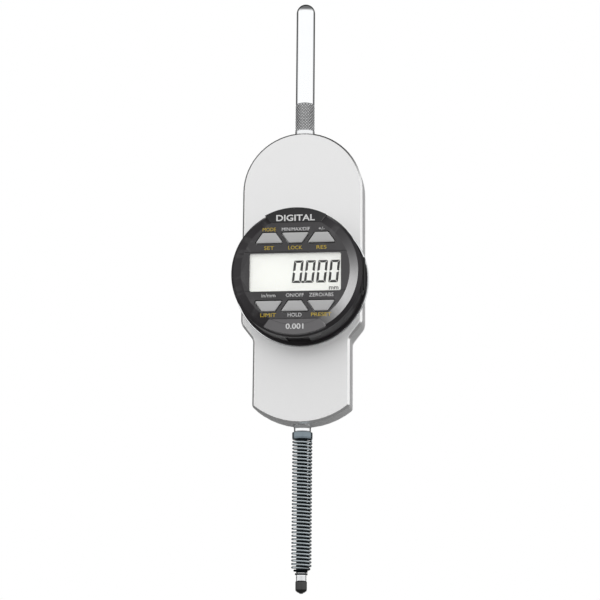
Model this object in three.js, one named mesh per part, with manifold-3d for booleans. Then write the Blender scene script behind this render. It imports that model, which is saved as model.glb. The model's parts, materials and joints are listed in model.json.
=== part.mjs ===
// Electronic plunger indicator with a display head that turns.
// Millimetres, +Z up, front towards -Y. The origin is the centre of the lug hole at the back.

import * as THREE from 'three';
import { mergeVertices } from 'three/addons/utils/BufferGeometryUtils.js';
import Module from 'manifold-3d';

const wasm = await Module();
wasm.setup();

// Clearances
const seat = 0.05;                // left between pieces that rest on or hold each other
const slip = 0.15;                // left between pieces that move past each other

// Facets round a turned piece
const headSides = 40;
const roundSides = 20;
const smallSides = 10;
const chordError = 0.08;          // greatest gap between a round edge and its chords
const cutOver = 1;                // how far a cut runs past the face it opens
const joinOver = 0.2;             // how far two forms of one piece run into each other

// Case: a round top on straight sides, sloping shoulders and a narrower foot
const lugToCover = 7.9;           // lug hole to the outer face of the back cover
const caseDepth = 16;             // outer face of the cover to the front face of the case
const caseHalfWidth = 28.8;
const caseTopCentre = 44.6;       // height of the centre of the round top
const caseShoulder = -20.3;       // height at which the wide sides end
const shoulderSlope = THREE.MathUtils.degToRad(37.7);
const shoulderRound = 6;
const shoulderHollow = 4;
const footStep = 5.9;             // foot narrower than the case on each side
const footCentre = -31.4;         // height of the centre of the round foot
const footRadius = 36.4;
const footCorner = 1;
const footSteps = 12;
const caseEdge = 1;
const caseWall = 2.6;
const coverThickness = 1.6;
const coverEdge = 0.4;
const gasketThickness = 0.5;
const gasketWidth = 1.9;
const coverBossRadius = 2.9;
const coverBossSink = 0.7;        // how far a screw boss runs into the wall
const topBossAngle = THREE.MathUtils.degToRad(22);
const lowBossRise = 16;           // lower screws above the foot of the case

// Lug on the back
const lugHalfThickness = 3.175;
const lugEndRadius = 6.35;
const lugHoleRadius = 3.25;
const lugRootHalfHeight = 8;
const lugBaseHalfWidth = 9;
const lugBaseHalfHeight = 15;
const lugBaseThickness = 2.4;
const lugScrewRise = 11.6;

// Spindle, contact point and travel
const travel = 25.4;
const spindleBehindFront = 8;     // case front face to the spindle axis
const spindleRadius = 2.4;
const bearingGap = 0.1;
const spindleAboveSleeve = 10;
const spindleTipLength = 3.6;     // spring end to the lower end of the spindle
const spindleEdge = 0.5;
const grooveDepth = 0.4;
const contactProud = 0.25;        // contact point beyond the spindle
const contactShoulder = 4;
const contactTaper = [            // [share of the radius, height above the tip]
  [0.62, 0.45],
  [0.9, 1.1],
];
const contactLength = 5.7;
const contactFlatRadius = 0.5;
const studRadius = 1.1;
const studLength = 3;

// Stem below the case
const neckRadius = 4;
const neckLength = 3.1;
const neckFlare = 0.7;
const stemCoreRadius = 3.3;
const collarRadius = 4.7625;
const collarHeight = 3.4;
const collarEdge = 0.3;
const bushingAboveFloor = 3;

// Spring
const springLength = 61.7;
const springTurns = 38;
const wireRadius = 0.4;
const springStepsPerTurn = 7;
const retainerThickness = 0.7;
const retainerProud = 0.55;       // retainer beyond the spindle

// Stem above the case
const upperBushingRadius = 3.4;
const upperFlangeRadius = 5;
const upperFlangeThickness = 2.2;
const bushingInSleeve = 6.5;
const sleeveRadius = 4.7;
const sleeveLength = 16.1;
const sleeveEdge = 0.5;
const tubeSocketDepth = 9;
const tubeRadius = 4.55;
const tubeSpigotRadius = 3.9;
const tubeBoreRadius = 3.1;
const tubeExposed = 52.2;
const tubeEnd = 3;                // solid metal at the closed end
const domeSteps = 4;

// Display head, turned about the Y axis
const baseRingProud = 1.5;        // ring beyond the bezel all round
const baseRingInnerRadius = 22;
const baseRingThickness = 1.05;
const baseRingEdge = 0.3;
const headRadius = 30.5;
const faceBevel = 2.7;            // rim radius less the radius of the flat face
const faceDepth = 23.2;             // case front to the face
const rimDepth = 18.7;            // case front to the widest part of the bezel
const splitDepth = 16.5;          // case front to the joint between shell and bezel
const bezelWall = 2;
const bezelSkin = 2.4;
const shellInset = 0.3;           // shell behind the bezel's rim
const shellWall = 2.1;
const shellFloor = 2.2;
const flangeInset = 0.6;
const flangeThickness = 0.95;
const hubRadius = 11;
const hubBore = 8.5;
const washerThickness = 0.3;
const washerRadius = 15;
const retainingRingThickness = 1;
const retainingRingRadius = 15.2;
const headBossRadius = 1.7;
const bossAboveFrame = 0.7;       // screw boss to the display frame
const bossGap = 0.35;
const headScrewDepth = 8;
const counterboreDepth = 1.25;

// Window and display
const windowHeight = 17.8;
const windowWidth = 42.3;
const windowCentre = -0.8;
const windowCorner = 0.8;
const lensRecess = 0.25;
const lensRim = 0.8;              // rim of the lens behind the bezel wall, on each side
const lensRimThickness = 0.8;
const panelThickness = 1.8;
const frameWall = 1.3;
const frameCorner = 4;
const frameLedge = 3;
const frameFloor = 0.9;
const boardThickness = 1;
const boardGap = 1.3;             // face boards and mat inside the bezel

// Keys
const keyHeight = 4.9;
const keyPitch = 12.2;
const rowAboveWindow = 7.3;       // middle of the upper keys above the window
const rowBelowWindow = 7.05;
const upperRow = windowCentre + windowHeight / 2 + rowAboveWindow;
const lowerRow = windowCentre - windowHeight / 2 - rowBelowWindow;
const keyCorner = 0.45;
const keyGap = 0.35;
const keyFlange = 0.55;
const keyFlangeThickness = 0.8;
const keyEdge = 0.25;
const keyProud = 0.5;
const keyTravel = 0.6;
const keyWide = 12.8;
const keyNarrow = 6;
// [name, centre across, row, width at the bottom, width at the top]
const keys = [
  ['key_min_max', -keyPitch, upperRow, keyWide, keyNarrow],
  ['key_lock', 0, upperRow, keyNarrow, keyWide],
  ['key_plus_minus', keyPitch, upperRow, keyWide, keyNarrow],
  ['key_inch_mm', -keyPitch, lowerRow, keyNarrow, keyWide],
  ['key_on_off', 0, lowerRow, keyWide, keyNarrow],
  ['key_zero', keyPitch, lowerRow, keyNarrow, keyWide],
];
const matThickness = 0.7;
const domeRadius = 2;
const domeGap = 0.1;

// Inlaid plates on the face, above and below the keys
const plateEdge = 22.6;           // straight edge of each plate from the head's centre
const plateHalfWidth = 12;
const plateSpread = 4.2;
const plateRecess = 0.6;
const plateThickness = 0.45;
const plateGap = 0.2;

// Battery drawer at the foot of the head
const cellRadius = 10;
const cellThickness = 3.2;
const cellGap = 0.2;
const cellProud = 0.3;
const trayWall = 0.7;
const trayEndWall = 2.9;
const trayFloor = 1.4;
const trayBehindBoard = 1.2;
const notchHalfWidth = 5.4;
const notchDepth = 1.5;
const shellNotchDepth = 1.2;
const batteryLeafHalfWidth = 2;
const batteryLeafThickness = 0.3;
const batteryLeafBend = 4;        // bend above the middle of the cell
const batteryLeafTip = 3;         // tip below the middle of the cell
const batteryLeafTop = 2;         // end above the drawer

// Data port on the right side of the head
const portHalfHeight = 9.7;
const portCentre = 0.7;
const portProud = -0.3;            // outer face from the bezel's rim, outwards
const portBackDepth = 5;          // case front to the near side of the port
const portThickness = 7.4;
const portSink = 2.6;             // port block inside the bore of the shell
const portCorner = 2;
const socketHalfHeight = 7;
const socketHalfThickness = 1.6;
const socketDepth = 4.6;
const capLip = 0.8;
const capLipThickness = 0.7;
const capPlugLength = 4;

// Carriage, scale and sensor inside the case
const clampHalfDepth = 3.3;
const clampHalfHeight = 5;
const clampLeft = 6;
const clampRight = 5;
const scalePlateWidth = 8;
const scalePlateThickness = 1.3;
const scalePlateBehindAxis = 0.7;
const scaleThickness = 0.5;
const scaleInset = 0.6;
const scaleEndMargin = 1;
const chipHalfHeight = 4;
const chipHalfWidth = 3;
const chipThickness = 1;
const chipGap = 0.25;
const sensorBoardHalfHeight = 27;
const sensorBoardCentre = 8;
const sensorBoardWidth = 16;
const sensorBoardCorner = 1;
const boardBossInset = 3.2;
const boardBossRadius = 2.2;
const boardBossMargin = 1;        // boss beyond the path of the scale
const connectorHalfHeight = 5;
const connectorThickness = 1.8;
const connectorWidth = 4.5;
const connectorWall = 1;
const guidePinRadius = 1;
const guidePinReach = 7;
const guidePinSeat = 2;           // length of pin inside the clamp
const railWidth = 4.4;
const railGap = 4.6;              // spindle clamp to the near side of the rail
const railHalfDepth = 2.4;
const railEnd = 6;
const railSlotShare = 0.72;       // slot depth as a share of the rail's width
const railFootRadius = 2.1;
const clampScrewDrop = 3;

// Cable coil in the hub
const coilTurns = 2.5;
const coilInnerRadius = 3;
const coilOuterRadius = 7.6;
const coilThickness = 0.3;
const coilWidth = 5;
const coilStepsPerTurn = 16;
const coilSetback = 1;            // coil in front of the inner end of the hub

// Screws: radii of shank and head, height of head, length of shank
const coverScrew = { shank: 1.2, head: 2.2, height: 1.1, length: 7 };
const lugScrew = { shank: 1.2, head: 2.2, height: 1.2, length: 3.95 };
const boardScrew = { shank: 0.9, head: 1.7, height: 0.9, length: 4 };
const railScrew = { shank: 0.9, head: 1.6, height: 0.8, length: 6 };
const clampScrew = { shank: 0.7, head: 1.2, height: 0.5, length: 4.5 };
const headScrew = { shank: 0.8, head: 1.6, height: 1.1, length: headScrewDepth };
const screwSlotWidth = 0.5;
const screwSlotShare = 0.5;       // slot depth as a share of the head's height

// Depths along Y
const coverBack = -lugToCover;
const coverFront = coverBack - coverThickness;
const gasketBack = coverFront - seat;
const caseBack = gasketBack - gasketThickness - seat;
const caseFront = coverBack - caseDepth;
const cavityFront = caseFront + caseWall;
const spindleY = caseFront + spindleBehindFront;
const ringFront = caseFront - seat - baseRingThickness;
const headBack = ringFront - slip;
const headFloor = headBack - shellFloor;
const splitY = caseFront - splitDepth;
const rimY = caseFront - rimDepth;
const faceY = caseFront - faceDepth;
const bezelInside = faceY + bezelWall;
const washerBack = cavityFront + seat + washerThickness;
const retainingRingFront = washerBack + slip;
const hubBack = retainingRingFront + retainingRingThickness;
const lensBack = bezelInside + seat + lensRimThickness;
const panelBack = lensBack + seat + panelThickness;
const frameBack = panelBack + seat + frameFloor;
const boardFront = frameBack + seat;
const boardBack = boardFront + boardThickness;
const trayFront = boardBack + trayBehindBoard;
const trayBack = trayFront + cellThickness - cellProud + trayFloor;
const cellBack = trayBack - trayFloor - seat;
const cellFront = cellBack - cellThickness;
const portBack = caseFront - portBackDepth;
const portFront = portBack - portThickness;
const portMiddle = (portBack + portFront) / 2;
const scaleBack = spindleY + scalePlateBehindAxis + scalePlateThickness + seat + scaleThickness;
const sensorBoardFront = scaleBack + chipGap + chipThickness + seat;

// Heights along Z
const footHalfWidth = caseHalfWidth - footStep;
const caseFoot = footCentre - footRadius;
const caseTop = caseTopCentre + caseHalfWidth;
const cavityRadius = caseHalfWidth - caseWall;
const cavityTop = caseTopCentre + cavityRadius;
const archFall = cavityRadius - Math.sqrt(cavityRadius ** 2 - upperFlangeRadius ** 2);
const upperFlangeDrop = archFall + chordError + seat;
const neckFoot = caseFoot - neckLength;
const collarFoot = neckFoot - collarHeight;
const springFoot = collarFoot - springLength;
const spindleFoot = springFoot - spindleTipLength;
const sleeveFoot = caseTop + seat;
const sleeveTop = sleeveFoot + sleeveLength;
const tubeFoot = sleeveTop - tubeSocketDepth;
const tubeTop = sleeveTop + tubeExposed;
const spindleTop = sleeveTop + spindleAboveSleeve;
const carriageRest = -travel / 2;

// Widths across the head and inside the case
const faceRadius = headRadius - faceBevel;
const shellRadius = headRadius - shellInset;
const baseRingRadius = headRadius + baseRingProud;
const portReach = headRadius + portProud;
const contactRadius = spindleRadius + contactProud;
const retainerRadius = spindleRadius + retainerProud;
const clampScrewPlace = [-(spindleRadius + seat + clampLeft) / 2, carriageRest - clampScrewDrop];
const shellBore = shellRadius - shellWall;
const headBossCircle = shellBore - headBossRadius - bossGap;
const frameHalfHeight = windowHeight / 2 + lensRim + frameWall;
const headBossRise = Math.abs(windowCentre) + frameHalfHeight + bossAboveFrame + headBossRadius;
const boardRadius = shellBore - boardGap;
const trayHalfWidth = cellRadius + cellGap + trayWall;
const cellCentre = trayEndWall + cellGap + cellRadius - shellRadius;
const trayTop = cellCentre + cellRadius + cellGap + trayWall;
const scaleHalfHeight = travel / 2 + chipHalfHeight + scaleInset + scaleEndMargin;
const scaleCentre = clampRight + scalePlateWidth / 2;
const railLeft = -(clampLeft + railGap + railWidth);
const railSlotHalfHeight = travel / 2 + guidePinRadius + slip;
const railHalfHeight = railSlotHalfHeight + railEnd;
const boardBossX = clampRight + scalePlateWidth + slip + boardBossRadius + boardBossMargin;

const finishes = {
  castAluminium: { color: 0xd9dad8, roughness: 0.42, metalness: 0.75 },
  steel: { color: 0xb9bdc0, roughness: 0.3, metalness: 1 },
  chrome: { color: 0xe3e5e6, roughness: 0.12, metalness: 1 },
  springSteel: { color: 0x6f8289, roughness: 0.35, metalness: 1 },
  blackOxide: { color: 0x1b1b1d, roughness: 0.4, metalness: 0.8 },
  brass: { color: 0xc5a04e, roughness: 0.35, metalness: 1 },
  blackPlastic: { color: 0x2d2c2f, roughness: 0.5, metalness: 0 },
  keyPlastic: { color: 0xb7b7b5, roughness: 0.4, metalness: 0 },
  clear: { color: 0xe9eef0, roughness: 0.05, metalness: 0 },
  display: { color: 0xe6e9df, roughness: 0.25, metalness: 0 },
  board: { color: 0x1f5a35, roughness: 0.5, metalness: 0 },
  rubber: { color: 0x1d1d1d, roughness: 0.85, metalness: 0 },
  printedPlate: { color: 0x242326, roughness: 0.4, metalness: 0 },
  scaleGlass: { color: 0x8fa0a8, roughness: 0.1, metalness: 0.2 },
  chip: { color: 0x17181a, roughness: 0.45, metalness: 0 },
  cable: { color: 0xb86f2a, roughness: 0.45, metalness: 0 },
};

// A closed solid from a three.js geometry, turned the right way out.
function solid(geometry) {
  const bare = geometry.clone();
  bare.deleteAttribute('normal');
  bare.deleteAttribute('uv');
  const merged = mergeVertices(bare);
  const points = merged.attributes.position;
  const corners = [];
  const [a, b, c] = [new THREE.Vector3(), new THREE.Vector3(), new THREE.Vector3()];
  let volume = 0;
  for (let i = 0; i < merged.index.count; i += 3) {
    const [p, q, r] = [0, 1, 2].map((k) => merged.index.getX(i + k));
    if (p === q || q === r || r === p) continue;
    corners.push(p, q, r);
    a.fromBufferAttribute(points, p);
    b.fromBufferAttribute(points, q);
    c.fromBufferAttribute(points, r);
    volume += a.dot(b.cross(c));
  }
  if (volume < 0) corners.reverse();
  return new wasm.Manifold(new wasm.Mesh({
    numProp: 3,
    vertProperties: new Float32Array(points.array),
    triVerts: new Uint32Array(corners),
  }));
}

// Outline through corners [x, y, radius], each rounded to its radius by short chords.
function outline(corners) {
  const points = [];
  corners.forEach(([x, y, radius = 0], i) => {
    const corner = new THREE.Vector2(x, y);
    if (radius === 0) {
      points.push(corner);
      return;
    }
    const [beforeX, beforeY] = corners.at(i - 1);
    const [afterX, afterY] = corners[(i + 1) % corners.length];
    const before = new THREE.Vector2(beforeX, beforeY).sub(corner).normalize();
    const after = new THREE.Vector2(afterX, afterY).sub(corner).normalize();
    const half = Math.acos(before.dot(after)) / 2;
    const start = before.clone().multiplyScalar(radius / Math.tan(half)).add(corner);
    const bisector = before.clone().add(after).normalize();
    const centre = bisector.multiplyScalar(radius / Math.sin(half)).add(corner);
    const sweep = (Math.PI - 2 * half) * (before.cross(after) > 0 ? -1 : 1);
    const chord = 2 * Math.acos(1 - Math.min(chordError / radius, 0.5));
    const steps = Math.max(1, Math.ceil(Math.abs(sweep) / chord));
    for (let step = 0; step <= steps; step += 1) {
      points.push(start.clone().rotateAround(centre, (sweep * step) / steps));
    }
  });
  const apart = points.filter((point, i) => point.distanceTo(points.at(i - 1)) > 1e-3);
  return new THREE.Shape(apart);
}

// Rectangle with rounded corners, centred on x and y.
function rectangle(width, height, x = 0, y = 0, radius = 0) {
  const [w, h] = [width / 2, height / 2];
  return outline([
    [x - w, y - h, radius], [x + w, y - h, radius],
    [x + w, y + h, radius], [x - w, y + h, radius],
  ]);
}

// Outline in X and Z, made solid between two depths. An edge takes that much off both rims.
function plate(shape, back, front, edge = 0) {
  const depth = Math.abs(back - front) - 2 * edge;
  const geometry = new THREE.ExtrudeGeometry(shape, {
    depth,
    bevelEnabled: edge > 0,
    bevelThickness: edge,
    bevelSize: edge,
    bevelOffset: -edge,
    bevelSegments: 1,
  });
  geometry.rotateX(Math.PI / 2);
  geometry.translate(0, Math.max(back, front) - edge, 0);
  return solid(geometry);
}

// Outline in Y and Z, made solid between two places along X.
function sidePlate(shape, left, right) {
  const geometry = new THREE.ExtrudeGeometry(shape, { depth: right - left, bevelEnabled: false });
  geometry.rotateX(Math.PI / 2);
  geometry.rotateZ(Math.PI / 2);
  geometry.translate(left, 0, 0);
  return solid(geometry);
}

// Block between two limits along each axis.
function block([x0, x1], [y0, y1], [z0, z1]) {
  const geometry = new THREE.BoxGeometry(Math.abs(x1 - x0), Math.abs(y1 - y0), Math.abs(z1 - z0));
  geometry.translate((x0 + x1) / 2, (y0 + y1) / 2, (z0 + z1) / 2);
  return solid(geometry);
}

function lathe(profile, sides) {
  return new THREE.LatheGeometry(profile.map(([radius, along]) => new THREE.Vector2(radius, along)), sides);
}

// Profile of [radius, depth] turned about an axis along Y.
function facing(profile, sides = roundSides, x = 0, z = 0) {
  return solid(lathe(profile, sides).translate(x, 0, z));
}

// Profile of [radius, height] turned about the spindle axis.
function upright(profile, sides = roundSides) {
  return solid(lathe(profile, sides).rotateX(Math.PI / 2).translate(0, spindleY, 0));
}

const rod = (radius, from, to) => [[0, from], [radius, from], [radius, to], [0, to]];
const ring = (inner, outer, from, to) => [
  [inner, from], [outer, from], [outer, to], [inner, to], [inner, from],
];

function piece(name, body, finish) {
  const { vertProperties, triVerts } = body.getMesh();
  const geometry = new THREE.BufferGeometry();
  geometry.setAttribute('position', new THREE.BufferAttribute(new Float32Array(vertProperties), 3));
  geometry.setIndex(new THREE.BufferAttribute(new Uint32Array(triVerts), 1));
  geometry.computeVertexNormals();
  const mesh = new THREE.Mesh(geometry, new THREE.MeshStandardMaterial(finishes[finish]));
  mesh.name = name;
  return mesh;
}

// Outline of the case, taken in by an inset all the way round.
function caseOutline(inset = 0) {
  const wide = caseHalfWidth - inset;
  const narrow = footHalfWidth - inset;
  const lift = inset * Math.tan(shoulderSlope / 2);
  const hollow = caseShoulder - (caseHalfWidth - footHalfWidth) / Math.tan(shoulderSlope);
  const round = footRadius - inset;
  const reach = Math.asin(narrow / round);
  const foot = [];
  for (let i = 0; i <= footSteps; i += 1) {
    const angle = -reach + (2 * reach * i) / footSteps;
    const corner = i === 0 || i === footSteps ? footCorner : 0;
    foot.push([round * Math.sin(angle), footCentre - round * Math.cos(angle), corner]);
  }
  const right = [
    [narrow, hollow + lift, shoulderHollow + inset],
    [wide, caseShoulder + lift, shoulderRound - inset],
    [wide, caseTopCentre + wide, wide],
  ];
  const left = right.map(([x, y, radius]) => [-x, y, radius]).reverse();
  return outline([...foot, ...right, ...left]);
}

// Places of the four cover screws, [across, height].
function coverScrewPlaces() {
  const inset = caseWall + coverBossRadius - coverBossSink;
  const topReach = caseHalfWidth - inset;
  const lowReach = footHalfWidth - inset;
  const top = [topReach * Math.cos(topBossAngle), caseTopCentre + topReach * Math.sin(topBossAngle)];
  const low = [lowReach, caseFoot + lowBossRise];
  return [top, low].flatMap(([x, z]) => [[-x, z], [x, z]]);
}

// Places of the four screws that join the halves of the head, [across, height].
function headScrewPlaces() {
  const x = Math.sqrt(headBossCircle ** 2 - headBossRise ** 2);
  const z = headBossRise;
  return [[-x, z], [x, z], [-x, -z], [x, -z]];
}

// Places of the screws of the sensor board and of the rail, [across, height].
const sensorScrewPlaces = [-1, 1].map((end) => [
  boardBossX,
  sensorBoardCentre + end * (sensorBoardHalfHeight - boardBossInset),
]);
const railScrewPlaces = [-1, 1].map((end) => [
  railLeft + railWidth / 2,
  end * (railHalfHeight - railEnd / 2),
]);

// Slotted screw with its head seated at a depth, its shank towards the front.
function screw(name, [x, z], headSeat, size, finish = 'steel') {
  const top = headSeat + size.height;
  const profile = [
    [0, headSeat - size.length], [size.shank, headSeat - size.length], [size.shank, headSeat],
    [size.head, headSeat], [size.head, top], [0, top],
  ];
  const slotHalf = screwSlotWidth / 2;
  const slotFloor = top - size.height * screwSlotShare;
  const across = [x - size.head * 2, x + size.head * 2];
  const slot = block(across, [slotFloor, top + cutOver], [z - slotHalf, z + slotHalf]);
  return piece(name, facing(profile, smallSides, x, z).subtract(slot), finish);
}

function screwHole([x, z], back, front, radius) {
  return facing(rod(radius + seat, front, back), smallSides, x, z);
}

// Hollow case with bosses for the cover, the sensor board and the guide rail.
function housing() {
  const boardBossEnd = sensorBoardFront - seat;
  const railFootEnd = spindleY - railHalfDepth - seat;
  let body = plate(caseOutline(), caseBack, caseFront, caseEdge);
  body = body.subtract(plate(caseOutline(caseWall), caseBack + cutOver, cavityFront));
  const wallDepth = cavityFront - caseWall / 2;
  const coverScrewEnd = coverBack - coverScrew.length - cutOver;
  const railScrewEnd = spindleY + railHalfDepth - railScrew.length - cutOver;
  for (const [x, z] of coverScrewPlaces()) {
    body = body.add(facing(rod(coverBossRadius, wallDepth, caseBack), smallSides, x, z));
    body = body.subtract(screwHole([x, z], caseBack + cutOver, coverScrewEnd, coverScrew.shank));
  }
  for (const place of sensorScrewPlaces) {
    const holeEnd = boardBossEnd - boardScrew.length;
    body = body.add(facing(rod(boardBossRadius, wallDepth, boardBossEnd), smallSides, ...place));
    body = body.subtract(screwHole(place, boardBossEnd + cutOver, holeEnd, boardScrew.shank));
  }
  for (const place of railScrewPlaces) {
    body = body.add(facing(rod(railFootRadius, wallDepth, railFootEnd), smallSides, ...place));
    body = body.subtract(screwHole(place, railFootEnd + cutOver, railScrewEnd, railScrew.shank));
  }
  body = body.subtract(facing(rod(hubRadius + slip, cavityFront + cutOver, caseFront - cutOver), headSides));
  body = body.subtract(upright(rod(neckRadius + seat, caseFoot - cutOver, caseFoot + 2 * caseWall)));
  body = body.subtract(upright(rod(upperBushingRadius + seat, cavityTop - caseWall, caseTop + cutOver)));
  return piece('housing', body, 'castAluminium');
}

// Flat cover that closes the back of the case.
function backCover() {
  let body = plate(caseOutline(), coverBack, coverFront, coverEdge);
  for (const place of coverScrewPlaces()) {
    body = body.subtract(screwHole(place, coverBack + cutOver, coverFront - cutOver, coverScrew.shank));
  }
  for (const z of [-lugScrewRise, lugScrewRise]) {
    body = body.subtract(screwHole([0, z], coverBack + cutOver, coverFront - cutOver, lugScrew.shank));
  }
  return piece('back_cover', body, 'castAluminium');
}

// Flat seal between the cover and the rim of the case.
function coverGasket() {
  const front = gasketBack - gasketThickness;
  let body = plate(caseOutline(caseEdge), gasketBack, front);
  const opening = caseOutline(caseEdge + gasketWidth);
  body = body.subtract(plate(opening, gasketBack + cutOver, front - cutOver));
  for (const [x, z] of coverScrewPlaces()) {
    body = body.add(facing(rod(coverBossRadius, front, gasketBack), smallSides, x, z));
    body = body.subtract(screwHole([x, z], gasketBack + cutOver, front - cutOver, coverScrew.shank));
  }
  return piece('cover_gasket', body, 'rubber');
}

// Upright lug with a cross hole, on a base screwed to the cover.
function lugPlate() {
  const root = coverBack + seat;
  const baseBack = root + lugBaseThickness;
  const base = rectangle(2 * lugBaseHalfWidth, 2 * lugBaseHalfHeight, 0);
  const profile = outline([
    [root, -lugRootHalfHeight], [baseBack, -lugRootHalfHeight],
    [lugEndRadius, -lugEndRadius, lugEndRadius], [lugEndRadius, lugEndRadius, lugEndRadius],
    [baseBack, lugRootHalfHeight], [root, lugRootHalfHeight],
  ]);
  const hole = new THREE.CylinderGeometry(lugHoleRadius, lugHoleRadius, 4 * lugHalfThickness, roundSides);
  let body = plate(base, baseBack, root).add(sidePlate(profile, -lugHalfThickness, lugHalfThickness));
  body = body.subtract(solid(hole.rotateZ(Math.PI / 2)));
  for (const z of [-lugScrewRise, lugScrewRise]) {
    body = body.subtract(screwHole([0, z], baseBack + cutOver, root - cutOver, lugScrew.shank));
  }
  return piece('lug_plate', body, 'castAluminium');
}

// Ring on the front of the case that the head turns on.
function baseRing() {
  const back = caseFront - seat;
  return piece('base_ring', facing([
    [baseRingInnerRadius, back], [baseRingRadius, back], [baseRingRadius, ringFront + baseRingEdge],
    [baseRingRadius - baseRingEdge, ringFront], [baseRingInnerRadius, ringFront],
    [baseRingInnerRadius, back],
  ], headSides), 'chrome');
}

// Thin washer behind the front wall of the case, which gives the head its drag.
function frictionWasher() {
  const washer = ring(hubRadius + 2 * slip, washerRadius, washerBack, cavityFront + seat);
  return piece('friction_washer', facing(washer), 'steel');
}

// Plated neck under the case, with a bearing bore for the spindle.
function lowerBushing() {
  const bore = spindleRadius + bearingGap;
  const top = caseFoot + caseWall + bushingAboveFloor;
  return piece('lower_bushing', upright([
    [bore, collarFoot + collarEdge], [stemCoreRadius, collarFoot + collarEdge],
    [stemCoreRadius, neckFoot], [neckRadius, neckFoot], [neckRadius, caseFoot - seat - neckFlare],
    [neckRadius + neckFlare, caseFoot - seat], [neckRadius, caseFoot - seat],
    [neckRadius, top], [bore, top], [bore, collarFoot + collarEdge],
  ]), 'chrome');
}

// Mounting ring on the stem, which the spring starts from.
function springCollar() {
  const bore = stemCoreRadius + seat;
  const top = neckFoot - seat;
  return piece('spring_collar', upright([
    [bore, collarFoot], [collarRadius - collarEdge, collarFoot],
    [collarRadius, collarFoot + collarEdge], [collarRadius, top - collarEdge],
    [collarRadius - collarEdge, top], [bore, top], [bore, collarFoot],
  ]), 'steel');
}

// Bushing through the top of the case, flanged inside and threaded for the sleeve.
function upperBushing() {
  const bore = spindleRadius + bearingGap;
  const flangeTop = cavityTop - upperFlangeDrop;
  const flangeFoot = flangeTop - upperFlangeThickness;
  const top = sleeveFoot + bushingInSleeve;
  return piece('upper_bushing', upright([
    [bore, flangeFoot], [upperFlangeRadius, flangeFoot], [upperFlangeRadius, flangeTop],
    [upperBushingRadius, flangeTop], [upperBushingRadius, top], [bore, top], [bore, flangeFoot],
  ]), 'brass');
}

// Sleeve that screws onto the upper bushing and holds the tube.
function knurledSleeve() {
  const lowBore = upperBushingRadius + seat;
  const highBore = tubeSpigotRadius + seat;
  const step = tubeFoot - seat;
  return piece('knurled_sleeve', upright([
    [lowBore, sleeveFoot], [sleeveRadius - sleeveEdge, sleeveFoot],
    [sleeveRadius, sleeveFoot + sleeveEdge], [sleeveRadius, sleeveTop - sleeveEdge],
    [sleeveRadius - sleeveEdge, sleeveTop], [highBore, sleeveTop],
    [highBore, step], [lowBore, step], [lowBore, sleeveFoot],
  ]), 'steel');
}

// Closed tube over the top of the spindle, with a domed end.
function spindleTube() {
  const shoulder = sleeveTop + seat;
  const profile = [
    [tubeBoreRadius, tubeFoot], [tubeSpigotRadius, tubeFoot], [tubeSpigotRadius, shoulder],
    [tubeRadius, shoulder], [tubeRadius, tubeTop - tubeRadius],
  ];
  for (let i = 1; i <= domeSteps; i += 1) {
    const angle = (Math.PI / 2) * (i / domeSteps);
    const radius = i === domeSteps ? 0 : tubeRadius * Math.cos(angle);
    profile.push([radius, tubeTop - tubeRadius + tubeRadius * Math.sin(angle)]);
  }
  profile.push([0, tubeTop - tubeEnd], [tubeBoreRadius, tubeTop - tubeEnd - tubeBoreRadius / 2]);
  profile.push([tubeBoreRadius, tubeFoot]);
  return piece('spindle_tube', upright(profile), 'chrome');
}

// Slotted rail that keeps the spindle from turning.
function guideRail() {
  const railRight = railLeft + railWidth;
  const back = spindleY + railHalfDepth;
  const front = spindleY - railHalfDepth;
  const slotHalf = guidePinRadius + slip;
  const slotAcross = [railRight - railWidth * railSlotShare, railRight + cutOver];
  const slotDepth = [spindleY - slotHalf, spindleY + slotHalf];
  let body = block([railLeft, railRight], [front, back], [-railHalfHeight, railHalfHeight]);
  body = body.subtract(block(slotAcross, slotDepth, [-railSlotHalfHeight, railSlotHalfHeight]));
  for (const place of railScrewPlaces) {
    body = body.subtract(screwHole(place, back + cutOver, front - cutOver, railScrew.shank));
  }
  return piece('guide_rail', body, 'steel');
}

// Circuit board that carries the reading chip, beside the spindle.
function sensorBoard() {
  const centre = boardBossX + boardBossInset - sensorBoardWidth / 2;
  const back = sensorBoardFront + boardThickness;
  const shape = rectangle(
    sensorBoardWidth, 2 * sensorBoardHalfHeight, centre, sensorBoardCentre, sensorBoardCorner,
  );
  let body = plate(shape, back, sensorBoardFront);
  for (const place of sensorScrewPlaces) {
    body = body.subtract(screwHole(place, back + cutOver, sensorBoardFront - cutOver, boardScrew.shank));
  }
  return piece('sensor_board', body, 'board');
}

// Chip that reads the scale, on the front of the sensor board.
function readHead() {
  const depth = [sensorBoardFront - seat, sensorBoardFront - seat - chipThickness];
  const across = [scaleCentre - chipHalfWidth, scaleCentre + chipHalfWidth];
  return piece('read_head', block(across, depth, [-chipHalfHeight, chipHalfHeight]), 'chip');
}

// Socket on the sensor board for the flat cable from the head.
function ribbonConnector() {
  const back = sensorBoardFront - seat;
  const front = back - connectorThickness;
  const span = (middle, half) => [middle - half, middle + half];
  const middle = sensorBoardCentre + connectorHalfHeight;
  const body = block(span(boardBossX, connectorWidth / 2), [front, back], span(middle, connectorHalfHeight));
  const slot = block(
    span(boardBossX, connectorWidth / 2 - connectorWall),
    span(front, connectorThickness / 2),
    span(middle, connectorHalfHeight - connectorWall),
  );
  return piece('ribbon_connector', body.subtract(slot), 'chip');
}

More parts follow.
